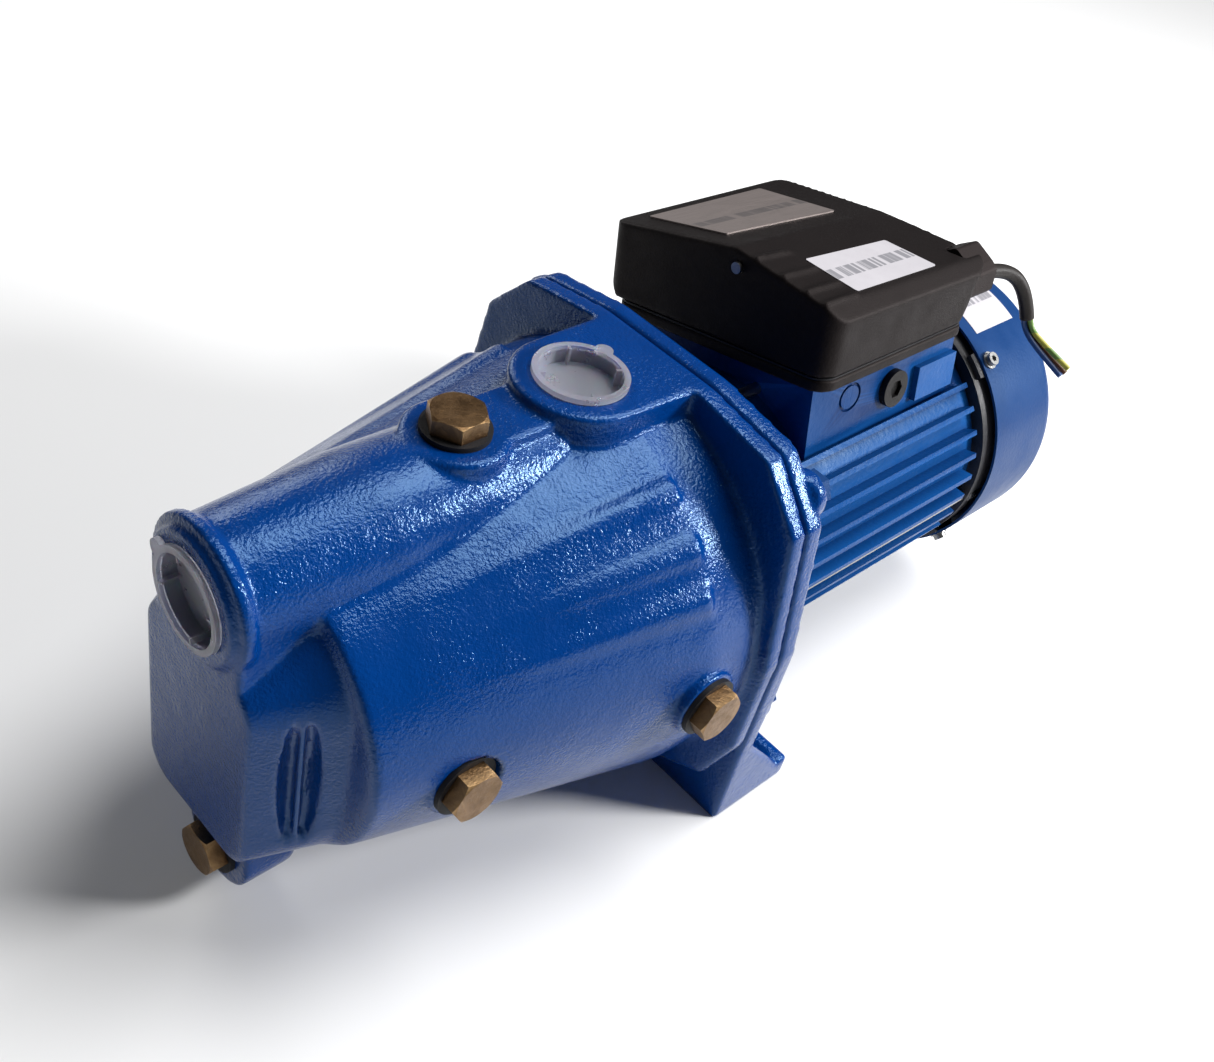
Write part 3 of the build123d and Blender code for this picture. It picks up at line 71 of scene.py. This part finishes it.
# ---------------------------------------------------------------- camera
CAMERA_PLACE = Vector((-0.3715, -0.2584, 0.4508))
CAMERA_AZIMUTH, CAMERA_DOWN, CAMERA_ROLL = (math.radians(a) for a in (36.3, 39.44, -15.41))
CAMERA_LENS, SENSOR = 39.62, 36.0
CAMERA_SHIFT = (-0.012, -0.0014)
CAMERA_CLIP = (0.01, 20)


def make_camera():
    look = Vector((math.cos(CAMERA_AZIMUTH) * math.cos(CAMERA_DOWN),
                   math.sin(CAMERA_AZIMUTH) * math.cos(CAMERA_DOWN), -math.sin(CAMERA_DOWN)))
    right = Vector((math.sin(CAMERA_AZIMUTH), -math.cos(CAMERA_AZIMUTH), 0))
    down = look.cross(right)
    rolled_right = right * math.cos(CAMERA_ROLL) + down * math.sin(CAMERA_ROLL)
    rolled_down = down * math.cos(CAMERA_ROLL) - right * math.sin(CAMERA_ROLL)
    data = bpy.data.cameras.new("camera")
    data.lens, data.sensor_width = CAMERA_LENS, SENSOR
    data.shift_x, data.shift_y = CAMERA_SHIFT
    data.clip_start, data.clip_end = CAMERA_CLIP
    camera = bpy.data.objects.new("camera", data)
    bpy.context.scene.collection.objects.link(camera)
    turn = Matrix((rolled_right, -rolled_down, -look)).transposed()
    camera.matrix_world = Matrix.Translation(CAMERA_PLACE) @ turn.to_4x4()
    bpy.context.scene.camera = camera


make_camera()


# ---------------------------------------------------------------- material tools
WAVE_RATE = 20              # radians by which Blender's wave texture advances per unit at scale 1
COLOUR_A, COLOUR_B, COLOUR_OUT = 6, 7, 2        # a Mix node's sockets for colours


class Finish:
    """A procedural material: a Principled shader and the texture nodes that feed it."""

    def __init__(self, name, **values):
        self.material = bpy.data.materials.new(name)
        self.material.use_nodes = True
        self.tree = self.material.node_tree
        self.shader = self.tree.nodes["Principled BSDF"]
        self.place = self.node("ShaderNodeTexCoord").outputs["Object"]
        for key, value in values.items():
            self.shader.inputs[key.replace("_", " ")].default_value = value

    def node(self, kind, **settings):
        made = self.tree.nodes.new(kind)
        for key, value in settings.items():
            setattr(made, key, value)
        return made

    def feed(self, socket, source):
        """Links a node output, or sets a plain value, on an input socket."""
        if isinstance(source, bpy.types.NodeSocket):
            self.tree.links.new(source, socket)
        else:
            socket.default_value = source

    def noise(self, size, detail=3.0, roughness=0.55, stretch=(1, 1, 1), distortion=0.0):
        """Noise whose features measure about this size, in metres."""
        mapping = self.node("ShaderNodeMapping")
        mapping.inputs["Scale"].default_value = stretch
        self.feed(mapping.inputs["Vector"], self.place)
        made = self.node("ShaderNodeTexNoise")
        made.inputs["Scale"].default_value = 1 / size
        made.inputs["Detail"].default_value = detail
        made.inputs["Roughness"].default_value = roughness
        made.inputs["Distortion"].default_value = distortion
        self.feed(made.inputs["Vector"], mapping.outputs[0])
        return made.outputs["Fac"]

    def bands(self, size, direction="X", distortion=0.0):
        """Parallel bands, six to seven times this size apart, in metres."""
        made = self.node("ShaderNodeTexWave", bands_direction=direction)
        made.inputs["Scale"].default_value = 1 / (size * WAVE_RATE)
        made.inputs["Distortion"].default_value = distortion
        self.feed(made.inputs["Vector"], self.place)
        return made.outputs["Fac"]

    def ramp(self, source, low, high, start, end):
        """Maps source from the range low to high onto start to end."""
        made = self.node("ShaderNodeMapRange")
        for key, value in zip(("Value", "From Min", "From Max", "To Min", "To Max"),
                              (source, low, high, start, end)):
            self.feed(made.inputs[key], value)
        return made.outputs[0]

    def maths(self, kind, first, second):
        made = self.node("ShaderNodeMath", operation=kind)
        self.feed(made.inputs[0], first)
        self.feed(made.inputs[1], second)
        return made.outputs[0]

    def blend(self, share, first, second):
        made = self.node("ShaderNodeMix", data_type="RGBA")
        self.feed(made.inputs["Factor"], share)
        for socket, colour in ((COLOUR_A, first), (COLOUR_B, second)):
            if not isinstance(colour, bpy.types.NodeSocket):
                colour = (*colour, 1.0)
            self.feed(made.inputs[socket], colour)
        return made.outputs[COLOUR_OUT]

    def edges(self, low=0.52, high=0.62):
        """About 1 on outer edges and 0 on flats."""
        return self.ramp(self.node("ShaderNodeNewGeometry").outputs["Pointiness"], low, high, 0.0, 1.0)

    def bump(self, height, depth, strength=1.0):
        """Adds a bump of this depth in metres on top of what is there."""
        made = self.node("ShaderNodeBump")
        made.inputs["Distance"].default_value = depth
        made.inputs["Strength"].default_value = strength
        self.feed(made.inputs["Height"], height)
        socket = self.shader.inputs["Normal"]
        if socket.is_linked:
            self.feed(made.inputs["Normal"], socket.links[0].from_socket)
        self.feed(socket, made.outputs[0])

    def colour(self, source):
        self.feed(self.shader.inputs["Base Color"], source)

    def rough(self, source):
        self.feed(self.shader.inputs["Roughness"], source)


# ---------------------------------------------------------------- painted metal
BLUE, BLUE_DEEP, BLUE_PALE = (0.0, 0.040, 0.215), (0.0, 0.025, 0.140), (0.008, 0.100, 0.34)
BLUE_GLOSS = (0.38, 0.68, 1.0, 1.0)         # enamel tints what it mirrors
MOTOR_BLUE, MOTOR_DEEP, MOTOR_PALE = (0.0, 0.025, 0.125), (0.0, 0.014, 0.075), (0.006, 0.070, 0.25)
COVER_BLUE, COVER_DUSTY = (0.003, 0.029, 0.118), (0.008, 0.041, 0.150)


def casting_paint():
    """Thick gloss enamel over sand cast iron: fine pimples, patches of orange peel, thin on the edges."""
    paint = Finish("casting_paint", IOR=1.46, Specular_Tint=BLUE_GLOSS)
    drift = paint.noise(0.045, 4)
    paint.colour(paint.blend(paint.edges(0.54, 0.70), paint.blend(drift, BLUE_DEEP, BLUE), BLUE_PALE))
    paint.rough(paint.ramp(paint.noise(0.012, 5), 0.3, 0.7, 0.13, 0.22))
    patches = paint.ramp(paint.noise(0.03, 2), 0.4, 0.6, 0.55, 1.0)
    pimples = paint.maths("MULTIPLY", patches, paint.noise(0.00135, 2, 0.6))
    paint.bump(pimples, 0.00044)
    paint.bump(paint.noise(0.010, 1), 0.0003)
    return paint.material


def motor_paint():
    """Smoother gloss enamel over die cast aluminium, pooled in the corners."""
    paint = Finish("motor_paint", IOR=1.21, Specular_Tint=BLUE_GLOSS)
    drift = paint.noise(0.03, 4)
    paint.colour(paint.blend(paint.edges(), paint.blend(drift, MOTOR_DEEP, MOTOR_BLUE), MOTOR_PALE))
    paint.rough(paint.ramp(paint.noise(0.01, 5), 0.3, 0.7, 0.30, 0.44))
    paint.bump(paint.noise(0.0022, 3), 0.00018)
    paint.bump(paint.noise(0.012, 2), 0.00015)
    return paint.material


def cover_paint():
    """Semi gloss paint on a drawn steel cover, faintly dusty."""
    paint = Finish("cover_paint", IOR=1.27, Specular_Tint=BLUE_GLOSS)
    dust = paint.noise(0.02, 6, 0.7)
    paint.colour(paint.blend(dust, COVER_BLUE, COVER_DUSTY))
    paint.rough(paint.ramp(dust, 0.3, 0.7, 0.34, 0.5))
    paint.bump(paint.noise(0.0016, 2), 0.0001)
    paint.bump(paint.noise(0.05, 1), 0.001)
    return paint.material


# ---------------------------------------------------------------- other metals
def plug_brass():
    """Aged brass, brown in patches and rubbed bright along its edges."""
    brass = Finish("plug_brass", Metallic=1.0)
    tarnish = brass.ramp(brass.noise(0.007, 6, 0.7), 0.35, 0.65, 0.0, 1.0)
    body = brass.blend(tarnish, (0.145, 0.076, 0.034), (0.060, 0.032, 0.017))
    brass.colour(brass.blend(brass.edges(0.5, 0.62), body, (0.36, 0.23, 0.11)))
    brass.rough(brass.ramp(tarnish, 0, 1, 0.30, 0.52))
    brass.bump(brass.noise(0.0009, 3, stretch=(1, 1, 5)), 0.00012)
    brass.bump(brass.noise(0.006, 3), 0.0004)
    return brass.material


def metal(name, colour, dark, rough, grain=0.0008, stretch=(1, 1, 1), depth=0.00004):
    """A bare metal with fine tool marks and some staining."""
    made = Finish(name, Metallic=1.0)
    stain = made.noise(0.009, 5, 0.65)
    made.colour(made.blend(stain, colour, dark))
    made.rough(made.ramp(stain, 0.3, 0.7, rough, rough + 0.15))
    made.bump(made.noise(grain, 2, stretch=stretch), depth)
    return made.material


def lamination_steel():
    made = Finish("lamination_steel", Metallic=1.0, Roughness=0.5)
    made.colour(made.blend(made.noise(0.01), (0.20, 0.20, 0.21), (0.09, 0.085, 0.08)))
    made.bump(made.bands(0.0005), 0.0002)
    return made.material


def winding_copper():
    """Varnished copper wire, laid in fine parallel turns."""
    made = Finish("winding_copper", Metallic=0.8, Coat_Weight=0.6)
    made.colour(made.blend(made.noise(0.004), (0.45, 0.14, 0.04), (0.24, 0.06, 0.02)))
    made.rough(0.35)
    made.bump(made.bands(0.0009, "DIAGONAL", 2.0), 0.0005)
    return made.material


# ---------------------------------------------------------------- plastics and rubber
def plastic(name, colour, worn, rough, grain, depth, **values):
    """A moulding with spark eroded grain and slightly rubbed edges."""
    made = Finish(name, **values)
    cloud = made.noise(0.02, 5, 0.65)
    made.colour(made.blend(made.edges(0.52, 0.64), made.blend(cloud, colour, [c * 0.75 for c in colour]),
                           worn))
    made.rough(made.ramp(cloud, 0.3, 0.7, rough, rough + 0.14))
    made.bump(made.noise(grain, 2), depth)
    return made.material


def clear_cap():
    """Milky translucent polyethylene."""
    cap = Finish("clear_cap", Transmission_Weight=0.80, IOR=1.38, Subsurface_Weight=0.25,
                 Subsurface_Scale=0.003)
    cloud = cap.noise(0.006, 4)
    cap.colour(cap.blend(cloud, (0.80, 0.80, 0.88), (0.68, 0.69, 0.79)))
    cap.rough(cap.ramp(cloud, 0.3, 0.7, 0.26, 0.40))
    cap.bump(cap.noise(0.002, 2), 0.0001)
    return cap.material


def nameplate_metal():
    """Brushed plate with rows of faint etched rules, and no lettering."""
    plate = Finish("plate_metal", Metallic=0.85)
    brushed = plate.noise(0.0006, 3, 0.6, stretch=(0.03, 1, 1))
    rules = plate.maths("GREATER_THAN", plate.bands(0.0055, "Y"), 0.93)
    broken = plate.ramp(plate.noise(0.004, 3, stretch=(0.6, 0, 0)), 0.4, 0.5, 0, 0.5)
    ink = plate.maths("MULTIPLY", rules, broken)
    body = plate.blend(brushed, (0.42, 0.36, 0.34), (0.30, 0.255, 0.245))
    plate.colour(plate.blend(ink, body, (0.10, 0.10, 0.11)))
    plate.rough(plate.ramp(brushed, 0.3, 0.7, 0.38, 0.55))
    plate.bump(brushed, 0.00004)
    return plate.material


def sticker():
    """White film with faint generic grey rules."""
    film = Finish("sticker_white", Coat_Weight=0.3)
    rules = film.maths("GREATER_THAN", film.bands(0.0042, "Y"), 0.82)
    broken = film.ramp(film.noise(0.003, 2, stretch=(1, 0, 0)), 0.45, 0.5, 0, 0.75)
    paper = film.blend(film.noise(0.01), (0.56, 0.54, 0.57), (0.48, 0.46, 0.49))
    film.colour(film.blend(film.maths("MULTIPLY", rules, broken), paper, (0.15, 0.15, 0.17)))
    film.rough(0.42)
    film.bump(film.noise(0.004), 0.00005)
    return film.material


def earth_insulation():
    """Yellow insulation with a green stripe that runs round it."""
    made = Finish("wire_earth", Roughness=0.4)
    stripe = made.maths("GREATER_THAN", made.bands(0.0016, "DIAGONAL"), 0.62)
    made.colour(made.blend(stripe, (0.42, 0.40, 0.06), (0.13, 0.24, 0.05)))
    made.bump(made.noise(0.001), 0.00005)
    return made.material


FINISHES = {
    "casting_paint": casting_paint(),
    "motor_paint": motor_paint(),
    "cover_paint": cover_paint(),
    "clear_cap": clear_cap(),
    "plug_brass": plug_brass(),
    "washer_rubber": plastic("washer_rubber", (0.003, 0.003, 0.0035), (0.010, 0.010, 0.012), 0.5, 0.0006,
                             0.0001, IOR=1.3),
    # painted shade: the rear shield's near-black colour stands for the shadow in the gap inside the fan
    # cover's mouth
    "shield_black": plastic("shield_black", (0.006, 0.006, 0.008), (0.02, 0.02, 0.025), 0.4, 0.002,
                            0.0002),
    "moulded_hydraulics": plastic("moulded_hydraulics", (0.03, 0.03, 0.032), (0.07, 0.07, 0.07), 0.42,
                                  0.0012, 0.0001),
    "impeller_brass": metal("impeller_brass", (0.62, 0.45, 0.20), (0.42, 0.28, 0.12), 0.34, 0.0015,
                            depth=0.0002),
    "plated_steel": metal("plated_steel", (0.42, 0.42, 0.41), (0.24, 0.24, 0.235), 0.27),
    "bright_steel": metal("bright_steel", (0.58, 0.58, 0.59), (0.42, 0.42, 0.43), 0.2, stretch=(6, 1, 1)),
    "seal_ceramic": plastic("seal_ceramic", (0.8, 0.8, 0.76), (0.85, 0.85, 0.82), 0.2, 0.002, 0.00002),
    "seal_carbon": plastic("seal_carbon", (0.02, 0.02, 0.02), (0.06, 0.06, 0.06), 0.4, 0.001, 0.00005),
    "lamination_steel": lamination_steel(),
    "winding_copper": winding_copper(),
    "black_plastic": plastic("black_plastic", (0.004, 0.0035, 0.0035), (0.010, 0.009, 0.009), 0.45, 0.0008,
                             0.0001, IOR=1.25),
    "box_plastic": plastic("box_plastic", (0.0055, 0.0040, 0.0042), (0.016, 0.012, 0.012), 0.5, 0.0007,
                           0.00014, IOR=1.24, Specular_Tint=(1.0, 0.85, 0.82, 1.0)),
    "capacitor_can": plastic("capacitor_can", (0.7, 0.7, 0.68), (0.8, 0.8, 0.78), 0.35, 0.002, 0.00005),
    "terminal_plastic": plastic("terminal_plastic", (0.66, 0.64, 0.55), (0.75, 0.74, 0.66), 0.4, 0.001,
                                0.00005),
    "plate_metal": nameplate_metal(),
    "sticker_white": sticker(),
    "cable_jacket": plastic("cable_jacket", (0.010, 0.007, 0.006), (0.03, 0.022, 0.02), 0.42, 0.0009,
                            0.00012, IOR=1.33),
    "wire_brown": plastic("wire_brown", (0.09, 0.03, 0.012), (0.14, 0.06, 0.03), 0.35, 0.0008, 0.00004),
    "wire_blue": plastic("wire_blue", (0.02, 0.06, 0.20), (0.05, 0.12, 0.32), 0.35, 0.0008, 0.00004),
    "wire_earth": earth_insulation(),
}


def paint_frame():
    """Gives every CAD node the finish of its own material slot."""
    for part in frame["record"]["subparts"]:
        mesh = NODES[part["node"]].data
        mesh.materials.clear()
        mesh.materials.append(FINISHES[part["material_slot"]])


paint_frame()


# ---------------------------------------------------------------- castings and mouldings
def evaluated(piece):
    """The mesh of a piece with its modifiers worked in."""
    return bpy.data.meshes.new_from_object(piece.evaluated_get(bpy.context.evaluated_depsgraph_get()))


def swap_mesh(piece, mesh):
    piece.modifiers.clear()
    piece.data = mesh


def welded_copy(node, name):
    """A copy of a CAD node's mesh with its seams joined."""
    work = bmesh.new()
    work.from_mesh(NODES[node].data)
    bmesh.ops.remove_doubles(work, verts=work.verts, dist=0.01 * MM)
    mesh = bpy.data.meshes.new(name)
    work.to_mesh(mesh)
    work.free()
    piece = bpy.data.objects.new(name, mesh)
    piece.matrix_world = NODES[node].matrix_world
    bpy.context.scene.collection.objects.link(piece)
    return piece


def all_free(places):
    return np.ones(len(places))


def soften(node, name, voxel, passes, freedom=all_free, sink=0.0):
    """A casting or moulding with rounded edges and filled corners, made from its CAD node.

    freedom gives how far each point may move while the skin is smoothed, from 0 to 1. sink draws the
    whole skin in, so that what lies on it stays on top.
    """
    exact = welded_copy(node, name + "_exact")
    piece = welded_copy(node, name)
    remesh = piece.modifiers.new("skin", "REMESH")
    remesh.mode = "VOXEL"
    remesh.voxel_size = voxel
    wrap = piece.modifiers.new("wrap", "SHRINKWRAP")
    wrap.target = exact
    wrap.wrap_method = "NEAREST_SURFACEPOINT"
    swap_mesh(piece, evaluated(piece))
    places = np.empty(3 * len(piece.data.vertices))
    piece.data.vertices.foreach_get("co", places)
    weights = freedom(places.reshape(-1, 3))
    free = piece.vertex_groups.new(name="free")
    for weight in np.unique(weights):
        free.add(np.flatnonzero(weights == weight).tolist(), float(weight), "REPLACE")
    smooth = piece.modifiers.new("smooth", "SMOOTH")
    smooth.factor = 0.5
    smooth.iterations = passes
    smooth.vertex_group = "free"
    if sink:
        inward = piece.modifiers.new("sink", "DISPLACE")
        inward.strength = -sink
        inward.mid_level = 0.0
    swap_mesh(piece, evaluated(piece))
    piece.data.polygons.foreach_set("use_smooth", [True] * len(piece.data.polygons))
    bpy.data.objects.remove(exact)
    slot = next(part["material_slot"] for part in frame["record"]["subparts"] if part["node"] == node)
    piece.data.materials.clear()
    piece.data.materials.append(FINISHES[slot])
    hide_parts(node)
    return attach(piece, "pump")


def mesh_islands(node):
    """The middle of each separate solid in a CAD node."""
    work = welded_copy(node, "count")
    mesh = bmesh.new()
    mesh.from_mesh(work.data)
    bpy.data.objects.remove(work)
    left, middles = set(mesh.verts), []
    while left:
        found, edge = set(), [left.pop()]
        while edge:
            vertex = edge.pop()
            found.add(vertex)
            for link in vertex.link_edges:
                other = link.other_vert(vertex)
                if other in left:
                    left.remove(other)
                    edge.append(other)
        corners = np.array([vertex.co for vertex in found])
        middles.append((corners.min(axis=0) + corners.max(axis=0)) / 2)
    mesh.free()
    return middles


SEAT_KEEP, PORT_KEEP, PORT_DEEP = 15 * MM, 17.6 * MM, 22 * MM      # kept unsmoothed round seats and ports
COLLAR_LEN, HOLLOW_BACK = 10 * MM, 28 * MM      # behind the casing's front
HOLLOW_DROP = 1.2 * PORT_KEEP                   # below the suction axis: there the head's front starts
DECK_DEEP = 22 * MM         # how far the deck and pad stand below the casing's top
CRISP = 0.3                 # freedom of the edges that stay fairly sharp


def casing_freedom(places):
    """None at the plug seats and in the ports, a little on the collar, the head's hollows and the deck."""
    freedom = np.ones(len(places))
    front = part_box("pump_casing")[0].x
    suction = next(mount for mount in frame["record"]["mounts"] if mount["name"] == "suction_port")
    below_tube = suction["pos_m"][2] - HOLLOW_DROP
    behind = places[:, 0] - front
    freedom[behind < COLLAR_LEN] = CRISP
    freedom[places[:, 2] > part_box("pump_casing")[1].z - DECK_DEEP] = CRISP
    freedom[(behind < HOLLOW_BACK) & (places[:, 2] < below_tube)] = CRISP
    for seat in mesh_islands("plug_washers"):
        freedom[np.linalg.norm(places - seat, axis=1) < SEAT_KEEP] = 0
    for mount in frame["record"]["mounts"]:
        if mount["kind"] == "threaded_hole":
            offset = places - np.array(mount["pos_m"])
            along = offset @ np.array(mount["axis"])
            across = np.linalg.norm(offset - np.outer(along, mount["axis"]), axis=1)
            freedom[(across < PORT_KEEP) & (np.abs(along) < PORT_DEEP)] = 0
    return freedom


soften("pump_casing", "casing_casting", voxel=1.3 * MM, passes=20, freedom=casing_freedom)
soften("motor_bracket", "bracket_casting", voxel=1.5 * MM, passes=5)
soften("terminal_box_lid", "lid_moulding", voxel=0.9 * MM, passes=16, sink=0.06 * MM)
soften("terminal_box_base", "base_moulding", voxel=0.9 * MM, passes=4)

# ---------------------------------------------------------------- cable
# The routes repeat the CAD tubes' own points. Lengths are in metres, angles round the cable in degrees.
CABLE_D, WIRE_D = 6.6 * MM, 2.6 * MM
WIRE_SPREAD = 1.7 * MM                          # off the cable's middle line
BEND_EXTRA, TIP_EXTRA = 0.4 * MM, 1 * MM        # what the bend and the tip add to it
WIRE_STRAIGHT = 5 * MM                          # how far a wire runs on in the jacket's own direction
WIRES = (("wire_earth", 90, 0.0303), ("wire_blue", 210, 0.0323), ("wire_brown", 330, 0.0327))
JACKET_POINTS = [Vector(point) for point in (
    (0.1470, -0.0333, 0.1947), (0.1620, -0.0350, 0.1935),
    (0.1720, -0.0430, 0.1840), (0.1745, -0.0480, 0.1715))]
WIRES_BEND, WIRES_TIP = Vector((0.1755, -0.0590, 0.1625)), Vector((0.1760, -0.0750, 0.1575))


def cord_curve(name, points, diameter, finish, body):
    """A round cord on one smooth NURBS line."""
    data = bpy.data.curves.new(name, "CURVE")
    data.dimensions = "3D"
    data.resolution_u, data.bevel_resolution = 24, 6
    data.bevel_depth = diameter / 2
    data.use_fill_caps = True
    line = data.splines.new("NURBS")
    line.points.add(len(points) - 1)
    for place, point in zip(line.points, points):
        place.co = (*point, 1.0)
    line.order_u = 3
    line.use_endpoint_u = True
    data.materials.append(FINISHES[finish])
    cord = bpy.data.objects.new(name, data)
    bpy.context.scene.collection.objects.link(cord)
    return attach(cord, body)


def beside(point, way, angle, spread):
    """A point off to one side of a centre line that runs this way."""
    up = way.cross(Vector((1, 0, 0))).normalized()
    along = up.cross(way)
    return point + (along * math.cos(angle) + up * math.sin(angle)) * spread


def make_cable():
    jacket = cord_curve("jacket_sheath", JACKET_POINTS, CABLE_D, "cable_jacket", "pump")
    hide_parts("cable_jacket")
    end = JACKET_POINTS[-1]
    leaving = (end - JACKET_POINTS[-2]).normalized()
    tip_way = (WIRES_TIP - WIRES_BEND).normalized()
    for name, angle, length in WIRES:
        turn = math.radians(angle)
        points = [beside(end, leaving, turn, WIRE_SPREAD),
                  beside(end + leaving * WIRE_STRAIGHT, leaving, turn, WIRE_SPREAD),
                  beside(WIRES_BEND, tip_way, turn, WIRE_SPREAD + BEND_EXTRA),
                  beside(WIRES_TIP, tip_way, turn, WIRE_SPREAD + TIP_EXTRA)]
        wire = cord_curve(name + "_lead", points, WIRE_D, name, "pump")
        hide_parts(name)


make_cable()


# ---------------------------------------------------------------- floor and light
FLOOR_SIZE = 6
WORLD_COLOUR, WORLD_LIGHT = (0.95, 0.97, 1.0, 1), 0.09
LIGHTS = (                  # name, place, disk size, watts
    ("overhead", (1.0, -0.3, 2.3), 1.6, 62),
    ("near_right_softbox", (0.80, -0.82, 0.66), 0.28, 20),
    ("far_rim", (0.3, 1.5, 0.9), 0.8, 6),
)


def make_stage():
    bpy.ops.mesh.primitive_plane_add(size=FLOOR_SIZE, location=(0, 0, 0))
    floor = bpy.context.object
    floor.name = "floor"
    look = Finish("floor_paper", Roughness=0.9)
    look.colour(look.blend(look.noise(0.3), (0.83, 0.83, 0.83), (0.86, 0.86, 0.86)))
    floor.data.materials.append(look.material)


def area_light(name, place, aim, size, power):
    data = bpy.data.lights.new(name, "AREA")
    data.shape, data.size, data.energy = "DISK", size, power
    light = bpy.data.objects.new(name, data)
    light.location = place
    light.rotation_mode = "QUATERNION"
    light.rotation_quaternion = (Vector(aim) - Vector(place)).to_track_quat("-Z", "Y")
    bpy.context.scene.collection.objects.link(light)


def make_light():
    world = bpy.data.worlds.new("studio")
    world.use_nodes = True
    background = world.node_tree.nodes["Background"]
    background.inputs["Color"].default_value = WORLD_COLOUR
    background.inputs["Strength"].default_value = WORLD_LIGHT
    bpy.context.scene.world = world
    bpy.context.scene.view_settings.view_transform = "Standard"
    middle = (LOADED_BOUNDS[0] + LOADED_BOUNDS[1]) / 2
    for name, place, size, power in LIGHTS:
        area_light(name, place, middle, size, power)


make_stage()
make_light()
